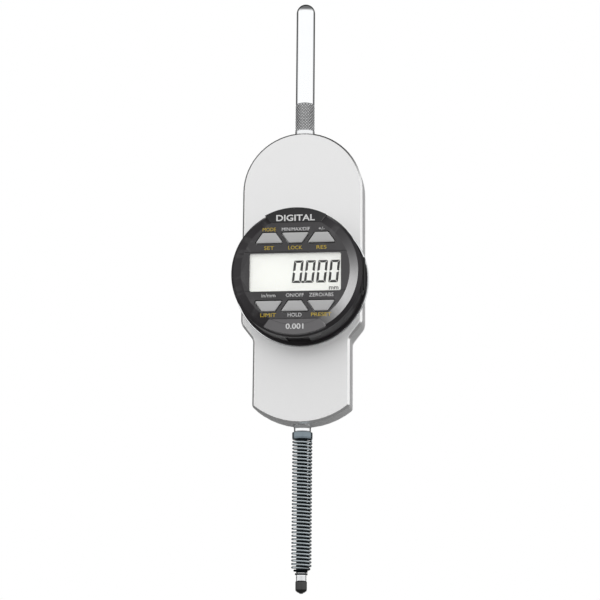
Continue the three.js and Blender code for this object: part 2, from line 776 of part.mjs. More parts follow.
// Spindle with a groove for the spring end and a socket for the contact point.
function spindle() {
  const core = spindleRadius - grooveDepth;
  const retainerFoot = springFoot - retainerThickness - seat;
  const socketTop = spindleFoot + studLength + slip;
  return piece('spindle', upright([
    [studRadius + seat, spindleFoot], [spindleRadius, spindleFoot],
    [spindleRadius, retainerFoot - seat], [core, retainerFoot - seat], [core, springFoot],
    [spindleRadius, springFoot], [spindleRadius, spindleTop - spindleEdge],
    [spindleRadius - spindleEdge, spindleTop], [0, spindleTop], [0, socketTop],
    [studRadius + seat, socketTop], [studRadius + seat, spindleFoot],
  ]), 'steel');
}

// Screwed-in tip with a small rounded end.
function contactPoint() {
  const top = spindleFoot - seat;
  const shoulder = spindleFoot - contactShoulder;
  const foot = spindleFoot - contactLength;
  const taper = contactTaper.map(([share, rise]) => [contactRadius * share, foot + rise]);
  return piece('contact_point', upright([
    [0, foot], [contactFlatRadius, foot], ...taper, [contactRadius, shoulder], [contactRadius, top],
    [studRadius, top], [studRadius, top + studLength], [0, top + studLength],
  ]), 'blackOxide');
}

// Centre line of the spring's wire, from the collar down to the retainer.
class CoilPath extends THREE.Curve {
  getPoint(t, target = new THREE.Vector3()) {
    const angle = 2 * Math.PI * springTurns * t;
    const radius = collarRadius - wireRadius;
    const start = collarFoot - seat - wireRadius;
    const end = springFoot + seat + wireRadius;
    const height = start + (end - start) * t;
    return target.set(radius * Math.cos(angle), spindleY + radius * Math.sin(angle), height);
  }
}

// Open coil spring between the collar and the spindle's lower end.
function returnSpring() {
  const path = new CoilPath();
  path.arcLengthDivisions = springTurns * 32;
  const wire = outline([[wireRadius, 0], [0, wireRadius], [-wireRadius, 0], [0, -wireRadius]]);
  const steps = springTurns * springStepsPerTurn;
  const geometry = new THREE.ExtrudeGeometry(wire, { steps, extrudePath: path, bevelEnabled: false });
  return piece('return_spring', solid(geometry), 'springSteel');
}

// Split ring in the spindle's groove, which the spring stands on.
function springRetainer() {
  const inner = spindleRadius - grooveDepth + seat;
  const top = springFoot - seat;
  const body = upright(ring(inner, retainerRadius, top - retainerThickness, top));
  return piece('spring_retainer', body, 'springSteel');
}

// Clamp on the spindle with an arm that carries the scale.
function scaleCarriage() {
  const armFront = spindleY + scalePlateBehindAxis;
  const armDepth = [armFront, armFront + scalePlateThickness];
  const clampDepth = [spindleY - clampHalfDepth, spindleY + clampHalfDepth];
  const clampHeight = [carriageRest - clampHalfHeight, carriageRest + clampHalfHeight];
  const height = [carriageRest - scaleHalfHeight, carriageRest + scaleHalfHeight];
  const holeEnd = clampDepth[1] - clampScrew.length;
  let body = block([-clampLeft, clampRight], clampDepth, clampHeight);
  body = body.add(block([clampRight - joinOver, clampRight + scalePlateWidth], armDepth, height));
  body = body.subtract(upright(rod(spindleRadius + seat, height[0] - cutOver, height[1] + cutOver)));
  body = body.subtract(screwHole(clampScrewPlace, clampDepth[1] + cutOver, holeEnd, clampScrew.shank));
  body = body.subtract(guidePinBody(seat));
  return piece('scale_carriage', body, 'brass');
}

// Ruled strip on the back of the carriage's arm.
function encoderScale() {
  const half = scalePlateWidth / 2 - scaleInset;
  const reach = scaleHalfHeight - scaleInset;
  const across = [scaleCentre - half, scaleCentre + half];
  const height = [carriageRest - reach, carriageRest + reach];
  return piece('encoder_scale', block(across, [scaleBack - scaleThickness, scaleBack], height), 'scaleGlass');
}

// Pin from the clamp into the slot of the rail, or the hole for it when grown.
function guidePinBody(grow) {
  const inner = guidePinSeat - clampLeft + grow;
  const radius = guidePinRadius + grow;
  const length = guidePinReach + guidePinSeat + grow;
  const geometry = new THREE.CylinderGeometry(radius, radius, length, smallSides);
  return solid(geometry.rotateZ(Math.PI / 2).translate(inner - length / 2, spindleY, carriageRest));
}

// Rear shell of the head, with a hub that turns in the front wall of the case.
function headShell() {
  const flangeRadius = baseRingRadius - flangeInset;
  const flangeFront = headBack - flangeThickness;
  let body = facing([
    [hubBore, hubBack], [hubRadius, hubBack], [hubRadius, headBack], [flangeRadius, headBack],
    [flangeRadius, flangeFront], [shellRadius, flangeFront], [shellRadius, splitY], [shellBore, splitY],
    [shellBore, headFloor], [hubBore, headFloor], [hubBore, hubBack],
  ], headSides);
  for (const [x, z] of headScrewPlaces()) {
    const recess = rod(headScrew.head + slip, headBack - counterboreDepth, headBack + cutOver);
    body = body.subtract(screwHole([x, z], headBack + cutOver, headFloor - cutOver, headScrew.shank));
    body = body.subtract(facing(recess, smallSides, x, z));
  }
  const below = -shellRadius - cutOver;
  const drawerHalf = trayHalfWidth + slip;
  const drawerDepth = [trayBack + slip, Math.min(trayFront, cellFront) - slip];
  const drawerTop = -Math.sqrt(shellBore ** 2 - drawerHalf ** 2) + cutOver;
  const notchBack = headBack - 2 * flangeThickness;
  const portHeight = portHalfHeight + seat;
  const drawer = block([-drawerHalf, drawerHalf], drawerDepth, [below, drawerTop]);
  const notch = block([-notchHalfWidth, notchHalfWidth], [trayBack, notchBack],
    [below, -shellRadius + shellNotchDepth]);
  const port = block([shellBore - portSink, shellRadius + cutOver], [portBack + seat, portFront - seat],
    [portCentre - portHeight, portCentre + portHeight]);
  return piece('head_shell', body.subtract(drawer).subtract(notch).subtract(port), 'blackPlastic');
}

// Outline of a key, a trapezoid with rounded corners, grown by an amount all round.
function keyOutline([, x, z, low, high], grow = 0) {
  const half = keyHeight / 2 + grow;
  const slant = Math.atan(Math.abs(low - high) / 2 / keyHeight);
  const middle = (low + high) / 4 + grow / Math.cos(slant);
  const lean = ((low - high) / 4) * (half / (keyHeight / 2));
  const round = keyCorner + grow;
  return outline([
    [x - middle - lean, z - half, round], [x + middle + lean, z - half, round],
    [x + middle - lean, z + half, round], [x - middle + lean, z + half, round],
  ]);
}

// Outline of the inlaid plate above (side 1) or below (side -1) the keys.
function inlayOutline(side, grow) {
  const near = side * (plateEdge - grow);
  const far = side * headRadius;
  const half = plateHalfWidth + grow;
  const wide = half + plateSpread * ((headRadius - plateEdge) / (faceRadius - plateEdge));
  const corners = [[-half, near], [half, near], [wide, far], [-wide, far]];
  return outline(side > 0 ? corners : corners.reverse());
}

// Solid form of the bezel before it is hollowed: a flat face with a bevelled rim.
function bezelForm(back) {
  const profile = [[0, faceY], [faceRadius, faceY], [headRadius, rimY], [headRadius, back], [0, back]];
  return facing(profile, headSides);
}

// Front of the head, with the window, the key openings and four screw bosses.
function frontBezel() {
  const back = splitY - seat;
  const bossEnd = headFloor - seat;
  const holeEnd = headBack - headScrewDepth - counterboreDepth - cutOver;
  let body = bezelForm(back).subtract(facing([
    [0, bezelInside], [faceRadius - bezelSkin / 2, bezelInside], [shellBore, rimY],
    [shellBore, back + cutOver], [0, back + cutOver],
  ], headSides));
  for (const place of headScrewPlaces()) {
    body = body.add(facing(rod(headBossRadius, bezelInside - bezelWall / 2, bossEnd), smallSides, ...place));
    body = body.subtract(screwHole(place, bossEnd + cutOver, holeEnd, headScrew.shank));
  }
  const opening = rectangle(windowWidth + 2 * seat, windowHeight + 2 * seat, 0, windowCentre, windowCorner);
  body = body.subtract(plate(opening, bezelInside + cutOver, faceY - cutOver));
  for (const key of keys) {
    body = body.subtract(plate(keyOutline(key, keyGap), bezelInside + cutOver, faceY - cutOver));
  }
  for (const side of [1, -1]) {
    body = body.subtract(plate(inlayOutline(side, 0), faceY + plateRecess, faceY - cutOver));
  }
  return piece('front_bezel', body, 'blackPlastic');
}

// Plate laid into the recess above (side 1) or below (side -1) the keys.
function inlayPlate(name, side) {
  const back = faceY + plateRecess - seat;
  const body = plate(inlayOutline(side, -plateGap), back, back - plateThickness);
  return piece(name, body.intersect(bezelForm(rimY)), 'printedPlate');
}

// Outline that the lens rim and the panel share.
function rimOutline() {
  const [width, height] = [windowWidth + 2 * lensRim, windowHeight + 2 * lensRim];
  return rectangle(width, height, 0, windowCentre, windowCorner);
}

// Clear window with a rim behind the bezel wall.
function displayLens() {
  const pane = rectangle(windowWidth, windowHeight, 0, windowCentre, windowCorner);
  const front = plate(pane, lensBack - joinOver, faceY + lensRecess);
  return piece('display_lens', front.add(plate(rimOutline(), lensBack, bezelInside + seat)), 'clear');
}

// Liquid-crystal panel behind the lens.
function displayPanel() {
  return piece('lcd_panel', plate(rimOutline(), panelBack, lensBack + seat), 'display');
}

// Frame that holds the lens rim and the panel on the board.
function displayFrame() {
  const inner = [windowWidth + 2 * (lensRim + slip), windowHeight + 2 * (lensRim + slip)];
  const outer = inner.map((size) => size + 2 * (frameWall - slip));
  const open = inner.map((size) => size - 2 * frameLedge);
  const wall = plate(rectangle(...outer, 0, windowCentre, frameCorner), frameBack, bezelInside + seat);
  const pocket = plate(rectangle(...inner, 0, windowCentre, windowCorner), panelBack + seat, faceY);
  const light = plate(rectangle(...open, 0, windowCentre), frameBack + cutOver, faceY);
  return piece('lcd_frame', wall.subtract(pocket).subtract(light), 'blackPlastic');
}

// Round sheet inside the head, notched round the screw bosses.
function notchedDisc(back, front) {
  let body = facing(rod(boardRadius, front, back), headSides);
  for (const [x, z] of headScrewPlaces()) {
    const notch = rod(headBossRadius + 2 * slip, front - cutOver, back + cutOver);
    body = body.subtract(facing(notch, smallSides, x, z));
  }
  return body;
}

// Round circuit board behind the panel and the key mat.
function displayBoard() {
  return piece('display_board', notchedDisc(boardBack, boardFront), 'board');
}

// Rubber sheet on the board, with a dome under each key.
function keyMat() {
  const back = boardFront - seat;
  const front = back - matThickness;
  const domeTop = bezelInside + seat + keyFlangeThickness + keyTravel + domeGap;
  const margin = 2 * (lensRim + frameWall + slip);
  const opening = rectangle(windowWidth + margin, windowHeight + margin, 0, windowCentre, frameCorner);
  let body = notchedDisc(back, front);
  body = body.subtract(plate(opening, back + cutOver, front - cutOver));
  for (const [, x, z] of keys) {
    body = body.add(facing(rod(domeRadius, domeTop, back - matThickness / 2), smallSides, x, z));
  }
  return piece('key_mat', body, 'rubber');
}

// Key cap with a flange behind the bezel wall, cut back where it would meet a screw boss.
function key(row) {
  const flangeBack = bezelInside + seat + keyFlangeThickness;
  const bossRoom = rod(headBossRadius + slip, faceY, flangeBack + cutOver);
  const stem = plate(keyOutline(row), flangeBack - joinOver, faceY - keyProud, keyEdge);
  let flange = plate(keyOutline(row, keyGap + keyFlange), flangeBack, bezelInside + seat);
  for (const [x, z] of headScrewPlaces()) {
    flange = flange.subtract(facing(bossRoom, smallSides, x, z));
  }
  return piece(row[0], stem.add(flange), 'keyPlastic');
}

// Ring on the end of the hub that keeps the head on the case.
function headRetainer() {
  const body = facing(ring(hubRadius + seat, retainingRingRadius, hubBack, retainingRingFront), headSides);
  return piece('head_retainer', body, 'steel');
}

// Flat cable wound loosely in the hub, so that the head can turn.
function ribbonCoil() {
  const points = [];
  const steps = Math.round(coilTurns * coilStepsPerTurn);
  for (const side of [0, 1]) {
    for (let i = 0; i <= steps; i += 1) {
      const t = side ? 1 - i / steps : i / steps;
      const radius = coilInnerRadius + (coilOuterRadius - coilInnerRadius) * t + side * coilThickness;
      const angle = 2 * Math.PI * coilTurns * t;
      points.push(new THREE.Vector2(radius * Math.cos(angle), radius * Math.sin(angle)));
    }
  }
  const back = hubBack - coilSetback;
  return piece('ribbon_coil', plate(new THREE.Shape(points), back, back - coilWidth), 'cable');
}

// Drawer that carries the coin cell, flush with the shell and notched for a fingernail.
function batteryTray() {
  const form = facing(rod(shellRadius, trayFront, trayBack), headSides);
  const pocket = rod(cellRadius + cellGap, trayFront - cutOver, trayBack - trayFloor);
  const below = -shellRadius - cutOver;
  const notchDepths = [trayFront - cutOver, trayBack + cutOver];
  const notch = block([-notchHalfWidth, notchHalfWidth], notchDepths, [below, -shellRadius + notchDepth]);
  let body = block([-trayHalfWidth, trayHalfWidth], [trayFront, trayBack], [below, trayTop]);
  body = body.intersect(form).subtract(facing(pocket, roundSides, 0, cellCentre));
  return piece('battery_tray', body.subtract(notch), 'blackPlastic');
}

// Flat round battery in the drawer.
function coinCell() {
  const profile = rod(cellRadius, cellFront, cellBack);
  return piece('coin_cell', facing(profile, roundSides, 0, cellCentre), 'steel');
}

// Leaf spring from the display board to the face of the cell.
function batteryContact() {
  const foot = boardBack + seat;
  const tip = cellFront - slip;
  const top = trayTop + batteryLeafTop;
  const bend = cellCentre + batteryLeafBend;
  const end = cellCentre - batteryLeafTip;
  const profile = outline([
    [foot, top], [foot, bend], [tip - batteryLeafThickness, end], [tip, end],
    [foot + batteryLeafThickness, bend + batteryLeafThickness], [foot + batteryLeafThickness, top],
  ]);
  const body = sidePlate(profile, -batteryLeafHalfWidth, batteryLeafHalfWidth);
  return piece('battery_contact', body, 'brass');
}

// Socket block through the right side of the shell.
function dataPort() {
  const inner = shellBore - portSink;
  const low = portCentre - portHalfHeight;
  const high = portCentre + portHalfHeight;
  const body = plate(outline([
    [inner, low], [portReach, low, portCorner], [portReach, high, portCorner], [inner, high],
  ]), portBack, portFront);
  const socket = block([portReach - socketDepth, portReach + cutOver],
    [portMiddle - socketHalfThickness, portMiddle + socketHalfThickness],
    [portCentre - socketHalfHeight, portCentre + socketHalfHeight]);
  return piece('data_port', body.subtract(socket), 'blackPlastic');
}

// Rubber cover that plugs the socket.
function portCover() {
  const lipCentre = portReach + seat + capLipThickness / 2;
  const lipHalf = socketHalfThickness + capLip;
  const plugHalf = socketHalfThickness - slip;
  const lipShape = rectangle(capLipThickness, 2 * (socketHalfHeight + capLip), lipCentre, portCentre);
  const lip = plate(lipShape, portMiddle + lipHalf, portMiddle - lipHalf);
  const plug = block([portReach - capPlugLength, lipCentre], [portMiddle - plugHalf, portMiddle + plugHalf],
    [portCentre - socketHalfHeight + slip, portCentre + socketHalfHeight - slip]);
  return piece('port_cover', lip.add(plug), 'rubber');
}

// The case and everything fixed to it.
const fixedPieces = new THREE.Group();
fixedPieces.add(
  housing(), backCover(), coverGasket(), lugPlate(), baseRing(), frictionWasher(), lowerBushing(),
  springCollar(), upperBushing(), knurledSleeve(), spindleTube(), guideRail(), sensorBoard(),
  readHead(), ribbonConnector(),
);
coverScrewPlaces().forEach((place, i) => {
  fixedPieces.add(screw(`cover_screw_${i + 1}`, place, coverBack + seat, coverScrew));
});
[lugScrewRise, -lugScrewRise].forEach((z, i) => {
  const headSeat = coverBack + 2 * seat + lugBaseThickness;
  fixedPieces.add(screw(`lug_screw_${i + 1}`, [0, z], headSeat, lugScrew));
});
sensorScrewPlaces.forEach((place, i) => {
  fixedPieces.add(screw(`board_screw_${i + 1}`, place, sensorBoardFront + boardThickness + seat, boardScrew));
});
railScrewPlaces.forEach((place, i) => {
  fixedPieces.add(screw(`rail_screw_${i + 1}`, place, spindleY + railHalfDepth + seat, railScrew));
});

// What slides with the spindle.
const slidingPieces = new THREE.Group();
slidingPieces.add(
  spindle(), contactPoint(), returnSpring(), springRetainer(), scaleCarriage(), encoderScale(),
  piece('guide_pin', guidePinBody(0), 'steel'),
  screw('clamp_screw', clampScrewPlace, spindleY + clampHalfDepth + seat, clampScrew),
);

// What turns with the display head.
const turningPieces = new THREE.Group();
turningPieces.add(
  headShell(), frontBezel(), inlayPlate('name_plate', 1), inlayPlate('range_plate', -1), displayLens(),
  displayPanel(), displayFrame(), displayBoard(), keyMat(), headRetainer(), ribbonCoil(), batteryTray(),
  coinCell(), batteryContact(), dataPort(), portCover(), ...keys.map(key),
);
headScrewPlaces().forEach((place, i) => {
  const headSeat = headBack - counterboreDepth + seat;
  turningPieces.add(screw(`head_screw_${i + 1}`, place, headSeat, headScrew));
});

const indicator = new THREE.Group();
indicator.add(fixedPieces, slidingPieces, turningPieces);

export default indicator;
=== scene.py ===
import json
import math

import bmesh
import bpy
import numpy as np
from mathutils import Matrix, Vector
from mathutils.geometry import delaunay_2d_cdt


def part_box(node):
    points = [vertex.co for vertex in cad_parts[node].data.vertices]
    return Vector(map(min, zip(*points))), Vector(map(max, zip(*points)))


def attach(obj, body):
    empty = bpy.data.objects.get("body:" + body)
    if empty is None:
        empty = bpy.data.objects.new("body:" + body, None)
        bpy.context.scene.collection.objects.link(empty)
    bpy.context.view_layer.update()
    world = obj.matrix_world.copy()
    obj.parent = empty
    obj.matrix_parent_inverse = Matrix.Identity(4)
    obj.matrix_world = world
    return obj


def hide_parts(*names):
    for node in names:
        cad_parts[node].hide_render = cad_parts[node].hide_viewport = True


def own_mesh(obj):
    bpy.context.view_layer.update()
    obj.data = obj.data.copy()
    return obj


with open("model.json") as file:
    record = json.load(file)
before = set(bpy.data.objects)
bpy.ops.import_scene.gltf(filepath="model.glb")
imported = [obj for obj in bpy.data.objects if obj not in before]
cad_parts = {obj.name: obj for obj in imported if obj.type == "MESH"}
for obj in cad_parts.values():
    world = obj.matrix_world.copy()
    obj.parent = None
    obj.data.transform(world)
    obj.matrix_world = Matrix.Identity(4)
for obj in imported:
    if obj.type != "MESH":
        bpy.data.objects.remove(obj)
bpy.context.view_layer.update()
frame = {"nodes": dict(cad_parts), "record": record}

PER_METRE = 1000.0
RIGHT_ANGLE = math.pi / 2


def cad(node):
    """Lowest and highest corner of a CAD node in millimetres."""
    low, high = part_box(node)
    return np.array(low) * PER_METRE, np.array(high) * PER_METRE


# Places taken from the CAD model
case_low, case_high = cad("housing")
cover_low, cover_high = cad("back_cover")
ring_low, ring_high = cad("base_ring")
shell_low, shell_high = cad("head_shell")
bezel_low, bezel_high = cad("front_bezel")
spindle_low, spindle_high = cad("spindle")
neck_low, neck_high = cad("lower_bushing")
collar_low, collar_high = cad("spring_collar")
sleeve_low, sleeve_high = cad("knurled_sleeve")
tube_low, tube_high = cad("spindle_tube")
spring_low, spring_high = cad("return_spring")
contact_low, contact_high = cad("contact_point")
tray_low, tray_high = cad("battery_tray")
port_low, port_high = cad("data_port")
cap_low, cap_high = cad("port_cover")
lug_low, lug_high = cad("lug_plate")
panel_low, panel_high = cad("lcd_panel")

AXIS_Y = (spindle_low[1] + spindle_high[1]) / 2
CASE_FRONT, CASE_BACK = case_low[1], case_high[1]
CASE_HALF = case_high[0]
CASE_FOOT, CASE_TOP = case_low[2], case_high[2]
FACE_Y = bezel_low[1]
HEAD_RADIUS = bezel_high[0]
SPINDLE_RADIUS = spindle_high[0]
COLLAR_RADIUS = collar_high[0]
SLEEVE_RADIUS = sleeve_high[0]
TUBE_RADIUS = tube_high[0]
CONTACT_RADIUS = contact_high[0]

# Case
TOP_CENTRE = CASE_TOP - CASE_HALF
SHOULDER_HEIGHT = -20.3
SHOULDER_SLOPE = math.radians(37.7)
SHOULDER_ROUND = 6.0
SHOULDER_HOLLOW = 4.0
FOOT_HALF = CASE_HALF - 5.9
FOOT_RADIUS = 36.4
FOOT_CORNER = 2.2
FOOT_STEPS = 12
CORNER_STEPS = 16
CASE_WALL = 2.6
CASE_BEVEL = 0.85
BEVEL_DEPTH = 1.3
BEVEL_EDGE = 0.1
POLISHED_FROM, POLISHED_TO = -0.97, -0.1
COVER_EDGE = 0.4
HUB_HOLE = 11.15

# Lug and screws
LUG_HALF, LUG_HOLE = 3.175, 3.25
LUG_BASE = 2.4
LUG_BASE_WIDTH, LUG_BASE_HEIGHT = 18.0, 30.0
LUG_ROOT = 8.0
LUG_CHAMFER, LUG_HOLE_CHAMFER = 0.35, 0.25
SCREW_RADIUS, SCREW_SHANK, SCREW_HEAD = 2.2, 1.1, 1.15
SLOT_HALF, SLOT_DEPTH = 0.28, 0.55

# Stem, sleeve, tube and point
NECK_RADIUS = 4.0
NECK_WAIST = 3.3
NECK_FLARE = 0.7
STEM_BORE = 2.5
COLLAR_BORE = 3.35
COLLAR_GROOVE = 0.12
SLEEVE_BORE = 3.45
TUBE_BORE, TUBE_TAIL = 3.1, 3.4
TUBE_END = 4.5
POINT_SHANK = 1.05

# Head
SIDES = 180
FLAT_RADIUS = HEAD_RADIUS - 5.2
BEVEL_RADIUS, BEVEL_FALL = HEAD_RADIUS - 1.5, 1.5
RIM_Y = FACE_Y + 4.5
SPLIT_Y = FACE_Y + 6.65
BEZEL_INSIDE_Y = FACE_Y + 2.0
SHELL_RADIUS = HEAD_RADIUS - 0.3
SHELL_BORE = SHELL_RADIUS - 2.1
INNER_FACE_RADIUS = HEAD_RADIUS - 3.9
FLANGE_THICKNESS = 0.95
RING_BORE = 22.0
HUB_RADIUS, HUB_BORE = 11.0, 8.5
SHELL_FLOOR = 2.1
NOTCH_HALF, NOTCH_DEPTH = 5.4, 1.2
DRAWER_GAP = 0.15
WINDOW_WIDTH, WINDOW_HEIGHT = 42.4, 17.9
WINDOW_CENTRE = -0.8
WINDOW_CORNER = 0.8
GROOVES = (8.75, -9.55)
GROOVE_HALF = 0.2
GROOVE_DEPTH = 0.4
KEY_GAP = 0.5
KEY_CORNER = 0.45
KEY_EDGE, KEY_CROWN = 0.38, 0.12
KEY_FLANGE = 0.85
KEY_HEIGHT = 4.9
KEY_WIDE, KEY_NARROW = 12.8, 6.0
KEY_PITCH = 12.2
UPPER_ROW, LOWER_ROW = 15.4, -16.75
KEYS = ("key_min_max", "key_lock", "key_plus_minus", "key_inch_mm", "key_on_off", "key_zero")
KEY_SHAPES = {
    "key_min_max": (-KEY_PITCH, UPPER_ROW, KEY_WIDE, KEY_NARROW),
    "key_lock": (0.0, UPPER_ROW, KEY_NARROW, KEY_WIDE),
    "key_plus_minus": (KEY_PITCH, UPPER_ROW, KEY_WIDE, KEY_NARROW),
    "key_inch_mm": (-KEY_PITCH, LOWER_ROW, KEY_NARROW, KEY_WIDE),
    "key_on_off": (0.0, LOWER_ROW, KEY_WIDE, KEY_NARROW),
    "key_zero": (KEY_PITCH, LOWER_ROW, KEY_NARROW, KEY_WIDE),
}
PLATE_EDGE = 22.6
PLATE_HALF = 12.1
PLATE_LEAN = 0.735
PLATE_REACH = HEAD_RADIUS - 0.6
PLATE_SKIRT = 3.4
PLATE_RECESS = 0.35

# Knurl and spring
KNURL_COUNT = 20
KNURL_DEPTH = 0.5
KNURL_FOOT = 2.6
KNURL_SINK, KNURL_NECK = 0.05, 0.35
KNURL_WIDTH = 0.3
KNURL_STEPS = 8
CROWN_HEIGHT, CROWN_FALL = 0.7, 0.4
SPRING_TURNS = 38
WIRE_RADIUS = 0.5
WIRE_SIDES = 8
SPRING_STEPS = 26
SPRING_END_TURNS = 1.6
SPINDLE_GROOVE, GROOVE_WIDTH = 0.4, 0.85
GRIP_PITCH, GRIP_HALF, GRIP_DEPTH = 0.42, 0.1, 0.14
SOCKET_DEPTH = 3.2


# Outlines and surfaces


def rounded_loop(corners, steps=CORNER_STEPS):
    """Closed outline through corners (x, y, radius).

    Each corner becomes an arc of that radius, tangent to both sides. Its centre lies on the
    bisector at radius / sin(half the corner's angle), and it sweeps the straight angle less
    the corner's angle. Every corner gives steps + 1 points, so outlines of one form match.
    """
    corners = np.asarray(corners, float)
    points, radius = corners[:, :2], corners[:, 2]
    before = np.roll(points, 1, axis=0) - points
    after = np.roll(points, -1, axis=0) - points
    before /= np.linalg.norm(before, axis=1)[:, None]
    after /= np.linalg.norm(after, axis=1)[:, None]
    half = np.arccos(np.clip((before * after).sum(1), -1, 1)) / 2
    half = np.clip(half, 1e-3, RIGHT_ANGLE - 1e-6)
    start = points + before * (radius / np.tan(half))[:, None]
    bisector = before + after
    length = np.linalg.norm(bisector, axis=1)
    bisector /= np.where(length < 1e-6, 1, length)[:, None]
    centre = points + bisector * (radius / np.sin(half))[:, None]
    cross = before[:, 0] * after[:, 1] - before[:, 1] * after[:, 0]
    sweep = (math.pi - 2 * half) * np.where(cross > 0, -1, 1)
    angle = sweep[:, None] * np.linspace(0, 1, steps + 1)[None, :]
    spoke = start - centre
    x = centre[:, :1] + spoke[:, :1] * np.cos(angle) - spoke[:, 1:] * np.sin(angle)
    y = centre[:, 1:] + spoke[:, :1] * np.sin(angle) + spoke[:, 1:] * np.cos(angle)
    return np.stack([x.ravel(), y.ravel()], axis=1)


def rectangle(width, height, x=0.0, y=0.0, radius=0.0, inset=0.0, steps=6):
    """Outline of a rectangle with round corners, taken in by an inset."""
    w, h, r = width / 2 - inset, height / 2 - inset, max(radius - inset, 0.02)
    return rounded_loop(
        [(x - w, y - h, r), (x + w, y - h, r), (x + w, y + h, r), (x - w, y + h, r)], steps
    )


def case_loop(inset=0.0):
    """Case outline in (x, z), taken in by an inset: the same corners as the CAD case.

    Convex corners lose the inset from their radius, hollow corners gain it, and the foot is
    an arc about a centre one foot radius above the lowest point.
    """
    wide, narrow = CASE_HALF - inset, FOOT_HALF - inset
    lift = inset * math.tan(SHOULDER_SLOPE / 2)
    hollow = SHOULDER_HEIGHT - (CASE_HALF - FOOT_HALF) / math.tan(SHOULDER_SLOPE)
    radius = FOOT_RADIUS - inset
    reach = math.asin(narrow / radius)
    angle = np.linspace(-reach, reach, FOOT_STEPS + 1)
    rounding = np.zeros_like(angle)
    rounding[[0, -1]] = max(FOOT_CORNER - inset, 0.05)
    centre = CASE_FOOT + FOOT_RADIUS
    foot = np.stack([radius * np.sin(angle), centre - radius * np.cos(angle), rounding], axis=1)
    right = np.array([
        (narrow, hollow + lift, SHOULDER_HOLLOW + inset),
        (wide, SHOULDER_HEIGHT + lift, SHOULDER_ROUND - inset),
        (wide, TOP_CENTRE + wide, wide),
    ])
    left = right[::-1] * (-1, 1, 1)
    return rounded_loop(np.vstack([foot, right, left]))


def key_loop(key, grow=0.0):
    """Outline of a key, a trapezoid with round corners, grown by an amount all round."""
    x, z, low, high = KEY_SHAPES[key]
    half = KEY_HEIGHT / 2 + grow
    slant = math.atan(abs(low - high) / 2 / KEY_HEIGHT)
    middle = (low + high) / 4 + grow / math.cos(slant)
    lean = (low - high) / 4 * half / (KEY_HEIGHT / 2)
    r = max(KEY_CORNER + grow, 0.1)
    return rounded_loop([
        (x - middle - lean, z - half, r), (x + middle + lean, z - half, r),
        (x + middle - lean, z + half, r), (x - middle + lean, z + half, r),
    ], 6)


def on_face(loop, y):
    """Outline in (x, z) placed at depth y."""
    return np.stack([loop[:, 0], np.full(len(loop), y), loop[:, 1]], axis=1)


def on_side(loop, x):
    """Outline in (y, z) placed at x."""
    return np.stack([np.full(len(loop), x), loop[:, 0], loop[:, 1]], axis=1)


def pole(ring, centre=None):
    """Ring drawn together to one point, its mean unless a centre is given."""
    middle = ring.mean(0) if centre is None else np.asarray(centre, float)
    return np.tile(middle, (len(ring), 1))


def skin(rings, closed=False):
    """Surface over matching rings: quads between ring i and i + 1, and round every ring."""
    rings = np.asarray(rings, float)
    rows, count, _ = rings.shape
    last = rows if closed else rows - 1
    i = np.arange(last)[:, None]
    j = np.arange(count)[None, :]
    a, b = i * count + j, i * count + (j + 1) % count
    k = (i + 1) % rows
    c, d = k * count + (j + 1) % count, k * count + j
    faces = np.stack(np.broadcast_arrays(a, b, c, d), axis=-1).reshape(-1, 4)
    return rings.reshape(-1, 3), faces.tolist()


def slab(loop_at, back, front, edge, place=on_face, steps=3, centre=None):
    """Solid between two depths whose outline is loop_at(inset).

    Both rims are quarter rounds: at angle a the inset is edge (1 - sin a) and the depth
    below the flat is edge (1 - cos a).
    """
    angle = np.linspace(0, RIGHT_ANGLE, steps + 1) if edge else np.array([RIGHT_ANGLE])
    inset, depth = edge * (1 - np.sin(angle)), edge * (1 - np.cos(angle))
    way = math.copysign(1, front - back)
    rings = [place(loop_at(i), back + way * d) for i, d in zip(inset, depth)]
    rings += [place(loop_at(i), front - way * d) for i, d in zip(inset[::-1], depth[::-1])]
    rings = [pole(rings[0], centre and (centre[0], back, centre[1]))] + rings
    rings.append(pole(rings[-1], centre and (centre[0], front, centre[1])))
    return skin(rings)


def turned(profile, sides=96, upright=True, centre=(0.0, 0.0), steps=3):
    """Profile of (radius, along, rounding) turned about the spindle axis, or about Y.

    A profile that starts on the axis is closed by its poles, and any other one is a ring.
    """
    profile = np.array([tuple(p) + (0.0,) * (3 - len(p)) for p in profile])
    outline = rounded_loop(profile, steps)
    solid = profile[0, 0] == 0
    if solid:
        outline = outline[steps:len(outline) - steps]
    angle = np.linspace(0, 2 * math.pi, sides, endpoint=False)
    radius, along = outline[:, :1], np.repeat(outline[:, 1:], sides, axis=1)
    x, side = radius * np.cos(angle), radius * np.sin(angle)
    if upright:
        rings = np.stack([x, AXIS_Y + side, along], axis=-1)
    else:
        rings = np.stack([centre[0] + x, along, centre[1] + side], axis=-1)
    return skin(rings, closed=not solid)


def within(points, loop):
    """Whether each point lies inside a closed outline, by counting the sides it looks across."""
    x, y = points[:, 0][:, None], points[:, 1][:, None]
    x0, y0 = loop[:, 0][None, :], loop[:, 1][None, :]
    x1, y1 = np.roll(x0, -1, axis=1), np.roll(y0, -1, axis=1)
    rise = np.where(y1 == y0, 1e-12, y1 - y0)
    crosses = ((y0 > y) != (y1 > y)) & (x < (x1 - x0) * (y - y0) / rise + x0)
    return crosses.sum(1) % 2 == 1


